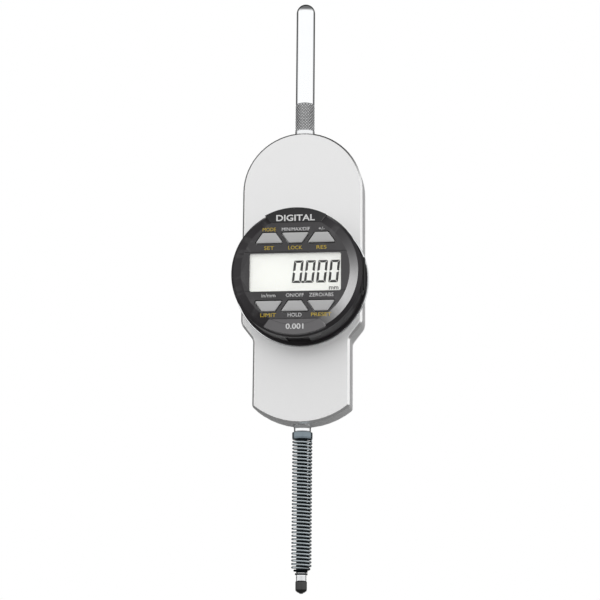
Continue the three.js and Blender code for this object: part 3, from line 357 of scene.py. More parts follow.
def flat_with_holes(outer, holes, y):
    """Flat face at depth y inside an outline and outside its holes, in triangles."""
    loops = [outer, *holes]
    points = np.vstack(loops)
    edges, first = [], 0
    for loop in loops:
        n = len(loop)
        edges += [(first + i, first + (i + 1) % n) for i in range(n)]
        first += n
    made = delaunay_2d_cdt([Vector(p) for p in points], edges, [], 0, 1e-7)
    spots = np.array([tuple(v) for v in made[0]])
    faces = np.array([f for f in made[2] if len(f) == 3])
    middle = spots[faces].mean(1)
    keep = within(middle, outer)
    for hole in holes:
        keep &= ~within(middle, hole)
    return on_face(spots, y), faces[keep].tolist()


def pierced_wall(outer, inner, keep):
    """Wall between two grids that wrap round, with an opening wherever keep is false.

    Each kept cell gives an outer and an inner face, and each side of it that meets an
    opening or the end of the grid gives a face across the wall.
    """
    rows, count, _ = outer.shape
    index = np.arange(rows * count).reshape(rows, count)
    far = index + rows * count
    right = np.roll(index, -1, axis=1)
    far_right = right + rows * count
    i, j = np.nonzero(keep)
    faces = [
        np.stack([index[i, j], right[i, j], right[i + 1, j], index[i + 1, j]], axis=1),
        np.stack([far[i, j], far[i + 1, j], far_right[i + 1, j], far_right[i, j]], axis=1),
    ]
    padded = np.vstack([np.zeros((1, count), bool), keep, np.zeros((1, count), bool)])
    i, j = np.nonzero(padded[1:] != padded[:-1])
    faces.append(np.stack([index[i, j], right[i, j], far_right[i, j], far[i, j]], axis=1))
    i, j = np.nonzero(keep != np.roll(keep, 1, axis=1))
    faces.append(np.stack([index[i, j], index[i + 1, j], far[i + 1, j], far[i, j]], axis=1))
    return np.vstack([outer.reshape(-1, 3), inner.reshape(-1, 3)]), np.vstack(faces).tolist()


# Pieces


def make_mesh(name, parts):
    """One closed, welded mesh in metres from (points, faces) parts, its faces outwards."""
    points, faces, first = [], [], 0
    for part_points, part_faces in parts:
        points.append(np.asarray(part_points, float) / PER_METRE)
        faces += [[first + v for v in face] for face in part_faces]
        first += len(part_points)
    mesh = bpy.data.meshes.new(name)
    mesh.from_pydata(np.vstack(points), [], faces)
    work = bmesh.new()
    work.from_mesh(mesh)
    bmesh.ops.remove_doubles(work, verts=work.verts, dist=1.5e-6)
    bmesh.ops.dissolve_degenerate(work, edges=work.edges, dist=1e-7)
    loose = [v for v in work.verts if not v.link_faces]
    bmesh.ops.delete(work, geom=loose, context="VERTS")
    bmesh.ops.recalc_face_normals(work, faces=work.faces)
    work.to_mesh(mesh)
    work.free()
    return mesh


def place_piece(name, mesh, material, body, stands_for=(), bevel=0.0, sharp=32):
    """Puts a mesh in the scene as a piece that rides on a CAD body."""
    mesh.shade_smooth()
    mesh.set_sharp_from_angle(angle=math.radians(sharp))
    piece = bpy.data.objects.new(name, mesh)
    bpy.context.scene.collection.objects.link(piece)
    mesh.materials.append(material)
    if bevel:
        rounding = piece.modifiers.new("rounded_edges", "BEVEL")
        rounding.width = bevel / PER_METRE
        rounding.segments = 2
        rounding.limit_method = "ANGLE"
        rounding.angle_limit = math.radians(sharp)
    even = piece.modifiers.new("even_shading", "WEIGHTED_NORMAL")
    even.keep_sharp = True
    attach(piece, body)
    if stands_for:
        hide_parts(*stands_for)
    return piece


# Finishes


def new_group(name, inputs, outputs):
    """Empty shader node group with named float or colour inputs and outputs."""
    group = bpy.data.node_groups.new(name, "ShaderNodeTree")
    kinds = {"f": "NodeSocketFloat", "c": "NodeSocketColor", "v": "NodeSocketVector"}
    for label, kind, value in inputs:
        socket = group.interface.new_socket(label, in_out="INPUT", socket_type=kinds[kind])
        socket.default_value = value
    for label, kind in outputs:
        group.interface.new_socket(label, in_out="OUTPUT", socket_type=kinds[kind])
    return group, group.nodes.new("NodeGroupInput"), group.nodes.new("NodeGroupOutput")


def link(tree, source, target):
    tree.links.new(source, target)


def math_node(tree, operation, *values):
    """Math node whose inputs are numbers or sockets."""
    node = tree.nodes.new("ShaderNodeMath")
    node.operation = operation
    for socket, value in zip(node.inputs, values):
        if isinstance(value, (int, float)):
            socket.default_value = value
        else:
            link(tree, value, socket)
    return node.outputs[0]


def stretched_noise(tree, stretch, detail=3.0):
    """Noise on Object coordinates multiplied by a stretch, per metre."""
    place = tree.nodes.new("ShaderNodeTexCoord")
    scale = tree.nodes.new("ShaderNodeVectorMath")
    scale.operation = "MULTIPLY"
    link(tree, place.outputs["Object"], scale.inputs[0])
    if isinstance(stretch, (tuple, list)):
        scale.inputs[1].default_value = stretch
    else:
        link(tree, stretch, scale.inputs[1])
    noise = tree.nodes.new("ShaderNodeTexNoise")
    noise.inputs["Scale"].default_value = 1.0
    noise.inputs["Detail"].default_value = detail
    link(tree, scale.outputs[0], noise.inputs["Vector"])
    return noise.outputs["Fac"]


def surface_group():
    """Grain and handling marks: height = grain, colour = mix of two tones by broad marks, and
    roughness = base + spread (marks - 1/2) + spread (grain - 1/2)."""
    group, given, out = new_group(
        "surface_marks",
        [
            ("Tone A", "c", (1, 1, 1, 1)), ("Tone B", "c", (1, 1, 1, 1)),
            ("Roughness", "f", 0.4), ("Spread", "f", 0.1),
            ("Grain", "v", (3000, 3000, 3000)), ("Marks", "v", (90, 90, 90)),
        ],
        [("Color", "c"), ("Roughness", "f"), ("Height", "f")],
    )
    grain = stretched_noise(group, given.outputs["Grain"], 2.0)
    marks = stretched_noise(group, given.outputs["Marks"], 4.0)
    tone = group.nodes.new("ShaderNodeMix")
    tone.data_type = "RGBA"
    link(group, marks, tone.inputs["Factor"])
    link(group, given.outputs["Tone A"], tone.inputs["A"])
    link(group, given.outputs["Tone B"], tone.inputs["B"])
    swing = math_node(group, "SUBTRACT", marks, 0.5)
    swing = math_node(group, "MULTIPLY", swing, given.outputs["Spread"])
    fine = math_node(group, "SUBTRACT", grain, 0.5)
    fine = math_node(group, "MULTIPLY", fine, given.outputs["Spread"])
    swing = math_node(group, "ADD", swing, fine)
    rough = math_node(group, "ADD", given.outputs["Roughness"], swing)
    link(group, tone.outputs["Result"], out.inputs["Color"])
    link(group, rough, out.inputs["Roughness"])
    link(group, grain, out.inputs["Height"])
    return group


def wear_group():
    """Rubbed edges: where the surface turns outwards, the colour moves to the worn colour."""
    group, given, out = new_group(
        "edge_wear",
        [("Color", "c", (1, 1, 1, 1)), ("Worn", "c", (1, 1, 1, 1)), ("Amount", "f", 0.3)],
        [("Color", "c"), ("Mask", "f")],
    )
    shape = group.nodes.new("ShaderNodeNewGeometry")
    band = group.nodes.new("ShaderNodeMapRange")
    band.inputs["From Min"].default_value = 0.51
    band.inputs["From Max"].default_value = 0.58
    link(group, shape.outputs["Pointiness"], band.inputs["Value"])
    speckle = stretched_noise(group, (900, 900, 900), 4.0)
    mask = math_node(group, "MULTIPLY", band.outputs["Result"], speckle)
    mask = math_node(group, "MULTIPLY", mask, given.outputs["Amount"])
    mix = group.nodes.new("ShaderNodeMix")
    mix.data_type = "RGBA"
    link(group, mask, mix.inputs["Factor"])
    link(group, given.outputs["Color"], mix.inputs["A"])
    link(group, given.outputs["Worn"], mix.inputs["B"])
    link(group, mix.outputs["Result"], out.inputs["Color"])
    link(group, mask, out.inputs["Mask"])
    return group


SURFACE = surface_group()
WEAR = wear_group()
EVEN = (1.0, 1.0, 1.0)
RINGS_UP = (0.03, 0.03, 1.0)
RINGS_FACING = (1.0, 0.03, 1.0)


def finish_material(name, tone_a, tone_b, roughness, metallic=0.0, spread=0.12, grain=3000.0,
                    grain_way=EVEN, marks=90.0, bump=0.1, height=0.02, worn=None, wear=0.5,
                    **sockets):
    """Material on the Principled shader, with marks, grain bump and, if asked, worn edges."""
    material = bpy.data.materials.new(name)
    material.use_nodes = True
    tree = material.node_tree
    shader = tree.nodes["Principled BSDF"]
    surface = tree.nodes.new("ShaderNodeGroup")
    surface.node_tree = SURFACE
    surface.inputs["Tone A"].default_value = (*tone_a, 1)
    surface.inputs["Tone B"].default_value = (*tone_b, 1)
    surface.inputs["Roughness"].default_value = roughness
    surface.inputs["Spread"].default_value = spread
    surface.inputs["Grain"].default_value = [grain * w for w in grain_way]
    surface.inputs["Marks"].default_value = [marks * w for w in grain_way]
    colour = surface.outputs["Color"]
    if worn:
        rubbed = tree.nodes.new("ShaderNodeGroup")
        rubbed.node_tree = WEAR
        rubbed.inputs["Worn"].default_value = (*worn, 1)
        rubbed.inputs["Amount"].default_value = wear
        link(tree, colour, rubbed.inputs["Color"])
        colour = rubbed.outputs["Color"]
    link(tree, colour, shader.inputs["Base Color"])
    link(tree, surface.outputs["Roughness"], shader.inputs["Roughness"])
    relief = tree.nodes.new("ShaderNodeBump")
    relief.inputs["Strength"].default_value = bump
    relief.inputs["Distance"].default_value = height / PER_METRE
    link(tree, surface.outputs["Height"], relief.inputs["Height"])
    link(tree, relief.outputs["Normal"], shader.inputs["Normal"])
    shader.inputs["Metallic"].default_value = metallic
    for label, value in sockets.items():
        shader.inputs[label.replace("_", " ")].default_value = value
    return material


def grey(value):
    return (value, value, value)


FINISHES = {
    "case_metal": finish_material("blasted_aluminium", grey(0.92), grey(0.95), 0.42, 0.5, 0.08,
                                  5200, bump=0.25, height=0.02, worn=grey(0.95), wear=0.35),
    "steel": finish_material("ground_steel", (0.56, 0.57, 0.58), (0.66, 0.67, 0.68), 0.28, 1.0,
                             grain=9000, grain_way=RINGS_UP, bump=0.18),
    "chrome": finish_material("bright_chrome", (0.86, 0.87, 0.88), (0.9, 0.91, 0.92), 0.09, 1.0,
                              0.06, 7000, RINGS_UP, bump=0.05),
    "spring_steel": finish_material("blued_spring_wire", (0.55, 0.62, 0.65), (0.68, 0.74, 0.77),
                                    0.2, 1.0, grain=7000, bump=0.08),
    "black_oxide": finish_material("black_oxide", grey(0.025), grey(0.09), 0.2, 1.0, marks=1600,
                                   grain=8000, grain_way=(1.0, 1.0, 0.05), bump=0.15,
                                   worn=grey(0.4)),
    "brass": finish_material("turned_brass", (0.62, 0.45, 0.19), (0.7, 0.53, 0.25), 0.3, 1.0,
                             grain=6000, grain_way=RINGS_UP, bump=0.15),
    "black_plastic": finish_material("charcoal_plastic", (0.015, 0.0125, 0.015),
                                     (0.021, 0.018, 0.021), 0.4, grain=4200, bump=0.35,
                                     height=0.03, worn=grey(0.14), wear=0.3,
                                     Specular_IOR_Level=0.3),
    "key_plastic": finish_material("grey_key_plastic", grey(0.50), grey(0.55), 0.46, grain=4200,
                                   bump=0.2, height=0.02, worn=grey(0.45), wear=0.4),
    # Painted light: the display glows a little to stay bright in its recess, though a reflective
    # display gives no light
    "display": finish_material("display_with_painted_glow", (0.97, 0.98, 0.94), (0.95, 0.97, 0.93), 0.3,
                               grain=2500, bump=0.03, Emission_Color=(1.0, 1.0, 0.96, 1.0),
                               Emission_Strength=0.37),
    "board": finish_material("green_board", (0.02, 0.12, 0.045), (0.03, 0.17, 0.07), 0.42,
                             grain=1600, marks=420, bump=0.4, height=0.05),
    "rubber": finish_material("black_rubber", grey(0.018), grey(0.026), 0.7, grain=2600, bump=0.4,
                              height=0.03, worn=grey(0.07)),
    "printed_plate": finish_material("printed_plate", (0.006, 0.006, 0.007), (0.009, 0.008, 0.01),
                                     0.42, grain=5200, bump=0.12, Specular_IOR_Level=0.2),
    "scale_glass": finish_material("ruled_scale", (0.25, 0.30, 0.33), (0.5, 0.56, 0.6), 0.12, 0.3,
                                   grain=4000, marks=2600, grain_way=(0.01, 0.01, 1.0)),
    "chip": finish_material("chip_resin", grey(0.016), grey(0.024), 0.5, grain=3600, bump=0.3),
    "cable": finish_material("cable_film", (0.48, 0.16, 0.02), (0.56, 0.2, 0.03), 0.3, marks=700,
                             bump=0.05),
}
EXTRA = {
    "drawer": finish_material("drawer_plastic", grey(0.10), grey(0.12), 0.5, grain=4200, bump=0.35,
                              height=0.03, worn=grey(0.3), wear=0.3),
    "lower_plate": finish_material("grey_plate", (0.055, 0.05, 0.055), (0.065, 0.06, 0.065), 0.4,
                                   grain=5200, bump=0.12),
    "segments": finish_material("display_ink", grey(0.006), grey(0.01), 0.4, grain=3000, bump=0.02),
    "white_ink": finish_material("white_ink", grey(0.82), grey(0.74), 0.5, grain=5000, bump=0.1),
    "yellow_ink": finish_material("yellow_ink", (0.66, 0.47, 0.03), (0.58, 0.40, 0.02), 0.5,
                                  grain=5000, bump=0.1),
    "ring_metal": finish_material("turned_ring", (0.8, 0.81, 0.82), (0.87, 0.88, 0.89), 0.16, 1.0,
                                  0.08, 8000, RINGS_FACING, bump=0.1),
    "knurled": finish_material("knurled_steel", (0.74, 0.75, 0.76), (0.84, 0.85, 0.86), 0.22, 1.0,
                               0.1, 6000, bump=0.1, worn=grey(0.95), wear=0.6),
    "polished_edge": finish_material("polished_edge", grey(0.80), grey(0.86), 0.2, 0.9, 0.06, 5200,
                                     bump=0.05),
    # Painted shade: near-black steel for the rod inside the spring, standing for the shadow within
    # the coil
    "dark_steel": finish_material("steel_in_painted_shade", (0.010, 0.013, 0.016),
                                  (0.02, 0.024, 0.028), 0.3, 1.0, grain=9000,
                                  grain_way=RINGS_UP, bump=0.15),
    "blue_steel": finish_material("blued_ring", (0.16, 0.20, 0.225), (0.25, 0.29, 0.32), 0.16, 1.0,
                                  grain=9000, grain_way=RINGS_UP, bump=0.12),
    "screw_steel": finish_material("screw_steel", (0.5, 0.51, 0.52), (0.62, 0.63, 0.64), 0.25, 1.0,
                                   0.1, 9000, RINGS_FACING, bump=0.2),
}


def paint_inward_shade(material, radius, shade, dark):
    """Paints shade into a finish below its outer radius, and leaves its own colour towards the
    outer radius.

    The tone follows the distance from the spindle axis, sqrt(x^2 + (y - axis)^2). It is dark
    shade[0] below the radius, and bright from shade[1] below it.
    """
    tree = material.node_tree
    shader = tree.nodes["Principled BSDF"]
    place = tree.nodes.new("ShaderNodeTexCoord")
    split = tree.nodes.new("ShaderNodeSeparateXYZ")
    link(tree, place.outputs["Object"], split.inputs[0])
    across = math_node(tree, "SUBTRACT", split.outputs["Y"], AXIS_Y / PER_METRE)
    square = math_node(tree, "ADD", math_node(tree, "POWER", split.outputs["X"], 2.0),
                       math_node(tree, "POWER", across, 2.0))
    band = tree.nodes.new("ShaderNodeMapRange")
    band.inputs["From Min"].default_value = (radius - shade[0]) / PER_METRE
    band.inputs["From Max"].default_value = (radius - shade[1]) / PER_METRE
    link(tree, math_node(tree, "SQRT", square), band.inputs["Value"])
    mix = tree.nodes.new("ShaderNodeMix")
    mix.data_type = "RGBA"
    link(tree, band.outputs["Result"], mix.inputs["Factor"])
    mix.inputs["A"].default_value = (*dark, 1)
    link(tree, shader.inputs["Base Color"].links[0].from_socket, mix.inputs["B"])
    link(tree, mix.outputs["Result"], shader.inputs["Base Color"])


def clear_lens():
    """Thin clear window: mostly see-through, with a gloss that grows towards its edges."""
    material = finish_material("clear_window", grey(0.97), grey(0.99), 0.06, spread=0.03, marks=40,
                               bump=0.01)
    tree = material.node_tree
    shader = tree.nodes["Principled BSDF"]
    fresnel = tree.nodes.new("ShaderNodeFresnel")
    fresnel.inputs["IOR"].default_value = 1.45
    cover = math_node(tree, "ADD", fresnel.outputs["Fac"], 0.04)
    link(tree, cover, shader.inputs["Alpha"])
    return material


FINISHES["clear"] = clear_lens()
# Painted shade: the spring wire turns near black on its side towards the spindle, where the coil is
# in shadow
paint_inward_shade(FINISHES["spring_steel"], spring_high[0], (0.6, 0.2), (0.008, 0.011, 0.014))
# Painted shade: the knurl's grooves are painted darker grey, with the full tone only on the peaks
paint_inward_shade(EXTRA["knurled"], SLEEVE_RADIUS, (0.4, 0.1), grey(0.42))


# Case and back

def case_body():
    """Hollow case: rings from the back rim over the outside and the front to the hub hole,
    and back along the inside, closed on themselves. A polished bevel runs round the front: the
    faces there that look neither straight forwards nor sideways."""
    outer = case_loop()
    turn = np.arctan2(outer[:, 1], outer[:, 0])
    hub = HUB_HOLE * np.stack([np.cos(turn), np.sin(turn)], axis=1)
    inner = case_loop(CASE_WALL)
    rings = [
        on_face(case_loop(0.3), CASE_BACK), on_face(outer, CASE_BACK - 0.3),
        on_face(outer, CASE_FRONT + BEVEL_DEPTH),
        on_face(case_loop(CASE_BEVEL), CASE_FRONT + BEVEL_EDGE),
        on_face(case_loop(CASE_BEVEL + 0.15), CASE_FRONT + 0.03),
        on_face(case_loop(CASE_BEVEL + 0.4), CASE_FRONT),
        on_face(hub, CASE_FRONT), on_face(hub, CASE_FRONT + CASE_WALL),
        on_face(inner, CASE_FRONT + CASE_WALL), on_face(inner, CASE_BACK),
    ]
    mesh = make_mesh("case_body", [skin(rings, closed=True)])
    place_piece("case_body", mesh, FINISHES["case_metal"], "case", ["housing"],
                sharp=28)
    mesh.materials.append(EXTRA["polished_edge"])
    middle, normal = np.zeros((2, len(mesh.polygons) * 3))
    mesh.polygons.foreach_get("center", middle)
    mesh.polygons.foreach_get("normal", normal)
    depth, facing = middle[1::3] * PER_METRE, normal[1::3]
    polished = depth < CASE_FRONT + BEVEL_DEPTH - 0.05
    polished &= (facing > POLISHED_FROM) & (facing < POLISHED_TO)
    mesh.polygons.foreach_set("material_index", polished.astype(np.int32))


def cover():
    """Flat back cover with rounded edges."""
    body = slab(case_loop, cover_low[1], cover_high[1], COVER_EDGE, centre=(0, 0))
    mesh = make_mesh("back_plate", [body])
    place_piece("back_plate", mesh, FINISHES["case_metal"], "case", ["back_cover"])


def lug():
    """Upright lug with a bored eye on a base plate.

    The eye's rings and the profile's rings share their polar angles about the hole, so the
    sides of the lug are spokes between them.
    """
    end, root = lug_high[1], lug_low[1]
    base_back = root + LUG_BASE
    profile = rounded_loop([
        (root + 0.4, -LUG_ROOT, 0), (base_back, -LUG_ROOT, 0), (end, -end, end), (end, end, end),
        (base_back, LUG_ROOT, 0), (root + 0.4, LUG_ROOT, 0),
    ], 20)
    turn = np.arctan2(profile[:, 1], profile[:, 0])
    spoke = np.stack([np.cos(turn), np.sin(turn)], axis=1)
    small = profile - spoke * LUG_CHAMFER
    wide = spoke * (LUG_HOLE + LUG_HOLE_CHAMFER)
    rings = [
        on_side(wide, -LUG_HALF), on_side(small, -LUG_HALF),
        on_side(profile, -LUG_HALF + LUG_CHAMFER), on_side(profile, LUG_HALF - LUG_CHAMFER),
        on_side(small, LUG_HALF), on_side(wide, LUG_HALF),
        on_side(spoke * LUG_HOLE, LUG_HALF - LUG_HOLE_CHAMFER),
        on_side(spoke * LUG_HOLE, -LUG_HALF + LUG_HOLE_CHAMFER),
    ]
    base = slab(lambda inset: rectangle(LUG_BASE_WIDTH, LUG_BASE_HEIGHT, 0, 0, 1.2, inset),
                root, base_back, 0.35)
    mesh = make_mesh("lug_bracket", [skin(rings, closed=True), base])
    place_piece("lug_bracket", mesh, FINISHES["case_metal"], "case", ["lug_plate"])


def screw_head(kind, number):
    """Pan head with a straight slot: a shank, a disc, and two half discs on it."""
    node, name = f"{kind}_{number}", f"{kind}_head_{number}"
    low, high = cad(node)
    x, z = (low[0] + high[0]) / 2, (low[2] + high[2]) / 2
    top, seat = high[1], high[1] - SCREW_HEAD
    slot_floor = top - SLOT_DEPTH
    parts = [turned([(0, low[1] + 0.2), (SCREW_SHANK, low[1] + 0.2), (SCREW_SHANK, seat),
                     (SCREW_RADIUS, seat), (SCREW_RADIUS, slot_floor), (0, slot_floor)],
                    40, False, (x, z))]
    reach = math.acos(SLOT_HALF / SCREW_RADIUS)
    turn = np.linspace(-reach, reach, 19)
    for side in (1, -1):
        def half_disc(inset, side=side):
            r = SCREW_RADIUS - inset
            arc = np.stack([x + r * np.sin(turn), z + side * r * np.cos(turn)], axis=1)
            edge = SLOT_HALF + inset
            arc[:, 1] = np.where(side * (arc[:, 1] - z) < edge, z + side * edge, arc[:, 1])
            return arc
        parts.append(slab(half_disc, slot_floor - 0.01, top, 0.22))
    mesh = make_mesh(name, parts)
    place_piece(name, mesh, EXTRA["screw_steel"], "case", [node])


# Stem, spring and spindle

def stem():
    """Chrome neck with a flare at the case, and the turned collar below it."""
    foot, top = neck_low[2], neck_high[2]
    collar_foot, collar_top = collar_low[2], collar_high[2]
    neck = turned([
        (STEM_BORE, foot), (NECK_WAIST, foot, 0.15), (NECK_WAIST, collar_top),
        (NECK_RADIUS - 0.12, collar_top + 0.05, 0.1), (NECK_RADIUS, collar_top + 0.5, 0.1),
        (NECK_RADIUS - 0.05, CASE_FOOT - 1.5, 0.5), (NECK_RADIUS + 0.25, CASE_FOOT - 0.55, 0.3),
        (NECK_RADIUS + NECK_FLARE, CASE_FOOT - 0.1, 0.05),
        (NECK_RADIUS, CASE_FOOT - 0.05), (NECK_RADIUS, top), (STEM_BORE, top),
    ])
    place_piece("stem_neck", make_mesh("stem_neck", [neck]), FINISHES["chrome"], "case",
                ["lower_bushing"])
    r = COLLAR_RADIUS
    collar = turned([
        (COLLAR_BORE, collar_foot), (r, collar_foot, 0.35), (r, collar_foot + 0.55, 0.02),
        (r - COLLAR_GROOVE, collar_foot + 0.62, 0.02),
        (r - COLLAR_GROOVE, collar_foot + 0.78, 0.02),
        (r, collar_foot + 0.85, 0.02), (r, collar_top, 0.35), (COLLAR_BORE, collar_top),
    ], 120)
    place_piece("stem_collar", make_mesh("stem_collar", [collar]), EXTRA["blue_steel"], "case",
                ["spring_collar"])


def knurled_grip():
    """Sleeve with a diamond knurl.

    Two families of helical grooves cross: at angle t and height z their phases are
    n t / 2 pi + z / p and n t / 2 pi - z / p. The radius falls by the depth times the deeper
    of the two V grooves, faded out over the plain foot ring and the round top.
    """
    foot, top = sleeve_low[2], sleeve_high[2]
    pitch = 2 * math.pi * SLEEVE_RADIUS / KNURL_COUNT
    columns = KNURL_COUNT * KNURL_STEPS
    z = np.concatenate([
        foot + np.array([0.0, 0.12, 0.3]), foot + np.linspace(0.5, KNURL_FOOT - 0.25, 4),
        [foot + KNURL_FOOT],
        np.arange(foot + KNURL_FOOT + 0.15, top - CROWN_HEIGHT, pitch / KNURL_STEPS),
        top - CROWN_HEIGHT * (1 - np.sin(np.linspace(0, RIGHT_ANGLE, 9))),
    ])
    radius = np.full(len(z), SLEEVE_RADIUS)
    radius[:3] = SLEEVE_RADIUS - np.array([0.3, 0.09, 0.0])
    body = z > foot + KNURL_FOOT + 0.1
    radius[z == foot + KNURL_FOOT] = SLEEVE_RADIUS - KNURL_NECK
    radius[body] = SLEEVE_RADIUS - KNURL_SINK
    crown = z >= top - CROWN_HEIGHT
    rise = np.clip((z[crown] - (top - CROWN_HEIGHT)) / CROWN_HEIGHT, 0, 1)
    radius[crown] = SLEEVE_RADIUS - KNURL_SINK - CROWN_FALL * (1 - np.sqrt(1 - rise ** 2))
    turn = np.linspace(0, 2 * math.pi, columns, endpoint=False)
    phase = KNURL_COUNT * turn[None, :] / (2 * math.pi)
    lift = (z[:, None] - foot) / pitch

    def groove(value):
        away = np.abs(value - np.round(value))
        return np.clip(1 - away / KNURL_WIDTH, 0, 1)

    depth = KNURL_DEPTH * np.maximum(groove(phase + lift), groove(phase - lift))
    fade = np.clip((z - foot - KNURL_FOOT - 0.1) / 0.2, 0, 1)
    fade *= np.clip((top - 0.3 - z) / 0.4, 0, 1)

    def ring_at(r, height):
        return np.stack([r * np.cos(turn), AXIS_Y + r * np.sin(turn),
                         np.repeat(height, columns, 1)], -1)

    rings = ring_at(radius[:, None] - depth * fade[:, None], z[:, None])
    inner = ring_at(np.full((2, 1), SLEEVE_BORE), np.array([[top], [foot]]))
    mesh = make_mesh("knurled_grip", [skin(np.vstack([rings, inner]), closed=True)])
    place_piece("knurled_grip", mesh, EXTRA["knurled"], "case", ["knurled_sleeve"],
                sharp=50)


def tube():
    """Closed chrome tube with a domed end: radius r cos a at height top - r + r sin a."""
    foot, top, r = tube_low[2], tube_high[2], TUBE_RADIUS
    shoulder = sleeve_high[2] + 0.05
    angle = np.linspace(0, RIGHT_ANGLE, 14)[:-1]
    dome = [(r * math.cos(a), top - r + r * math.sin(a)) for a in angle]
    profile = [(0, top - TUBE_END), (TUBE_BORE, top - TUBE_END - 0.1), (TUBE_BORE, foot),
               (TUBE_TAIL, foot), (TUBE_TAIL, shoulder), (r, shoulder, 0.12), *dome, (0, top)]
    place_piece("guard_tube", make_mesh("guard_tube", [turned(profile, 128)]), FINISHES["chrome"],
                "case", ["spindle_tube"], sharp=40)


def spring():
    """Open coil: a wire with a few flat sides carried along a helix.

    The centre is (R cos t, R sin t) at a height that falls evenly from the collar to the
    spindle's groove, closer over the end turns, and R narrows over the last turn and a half.
    """
    steps = SPRING_TURNS * SPRING_STEPS
    share = np.linspace(0, 1, steps + 1)
    turns = share * SPRING_TURNS
    t = 2 * math.pi * turns
    wide = spring_high[0] - WIRE_RADIUS
    narrow = SPINDLE_RADIUS + 0.15
    ease = np.clip((turns - (SPRING_TURNS - SPRING_END_TURNS)) / SPRING_END_TURNS, 0, 1) ** 1.3
    radius = wide + (narrow - wide) * ease
    top, foot = spring_high[2] - WIRE_RADIUS, spring_low[2] + WIRE_RADIUS
    density = 1 - 0.5 * np.exp(-turns / 0.5) - 0.45 * np.exp(-(SPRING_TURNS - turns) / 0.7)
    fall = np.concatenate([[0], np.cumsum((density[1:] + density[:-1]) / 2)])
    z = top + (foot - top) * fall / fall[-1]
    centre = np.stack([radius * np.cos(t), AXIS_Y + radius * np.sin(t), z], axis=1)
    ahead = np.gradient(centre, axis=0)
    ahead /= np.linalg.norm(ahead, axis=1)[:, None]
    outwards = np.stack([np.cos(t), np.sin(t), np.zeros_like(t)], axis=1)
    outwards -= ahead * (outwards * ahead).sum(1)[:, None]
    outwards /= np.linalg.norm(outwards, axis=1)[:, None]
    across = np.cross(ahead, outwards)
    round_wire = np.linspace(0, 2 * math.pi, WIRE_SIDES, endpoint=False)
    rings = centre[:, None] + WIRE_RADIUS * (
        np.cos(round_wire)[None, :, None] * outwards[:, None]
        + np.sin(round_wire)[None, :, None] * across[:, None]
    )
    rings = np.vstack([pole(rings[0])[None], rings, pole(rings[-1])[None]])
    mesh = make_mesh("coil_spring", [skin(rings)])
    piece = place_piece("coil_spring", mesh, FINISHES["spring_steel"], "plunger", ["return_spring"],
                        sharp=60)
    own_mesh(piece)


def spindle():
    """Spindle in two pieces: the rod inside the spring, painted near black as shade, and the bright
    end below it, with a groove for the spring's end and fine grip rings above the point."""
    foot, top, r = spindle_low[2], spindle_high[2], SPINDLE_RADIUS
    groove_top = spring_low[2]
    groove_foot = groove_top - GROOVE_WIDTH
    grip = []
    for z in np.arange(foot + 0.55, groove_foot - 0.5, GRIP_PITCH):
        grip += [(r, z - GRIP_HALF), (r - GRIP_DEPTH, z), (r, z + GRIP_HALF)]
    rod = [(0, groove_top), (r, groove_top, 0.1), (r, top, 0.5), (0, top)]
    place_piece("spindle_rod", make_mesh("spindle_rod", [turned(rod, 80)]), EXTRA["dark_steel"],
                "plunger", ["spindle"], sharp=25)
    socket, waist = POINT_SHANK + 0.1, r - SPINDLE_GROOVE
    end = [(0, foot + SOCKET_DEPTH), (socket, foot + SOCKET_DEPTH), (socket, foot), (r, foot, 0.15),
           *grip, (r, groove_foot, 0.1), (waist, groove_foot), (waist, groove_top + 0.1),
           (0, groove_top + 0.1)]
    place_piece("spindle_end", make_mesh("spindle_end", [turned(end, 80)]), FINISHES["chrome"],
                "plunger", sharp=25)


def contact():
    """Screwed-in point: a plain barrel, a chamfered shoulder and a round tip."""
    foot, top, r = contact_low[2], contact_high[2], CONTACT_RADIUS
    seat = spindle_low[2] - 0.05
    profile = [(0, foot), (0.6, foot, 0.3), (r * 0.45, foot + 0.45, 0.15),
               (r * 0.62, foot + 0.6, 0.1), (r * 0.94, foot + 1.25, 0.2), (r, foot + 1.9, 0.2),
               (r, seat - 0.25, 0.05), (r - 0.25, seat), (POINT_SHANK, seat), (POINT_SHANK, top),
               (0, top)]
    place_piece("point", make_mesh("point", [turned(profile, 80)]), FINISHES["black_oxide"],
                "plunger", ["contact_point"], sharp=25)


# Display head

def base():
    """Bright ring on the case that the head turns on."""
    back, front, r = ring_high[1], ring_low[1], ring_high[0]
    profile = [(RING_BORE, back), (RING_BORE, front), (r, front, 0.3), (r, back, 0.2)]
    mesh = make_mesh("turntable_ring", [turned(profile, SIDES, False)])
    place_piece("turntable_ring", mesh, EXTRA["ring_metal"], "case", ["base_ring"])


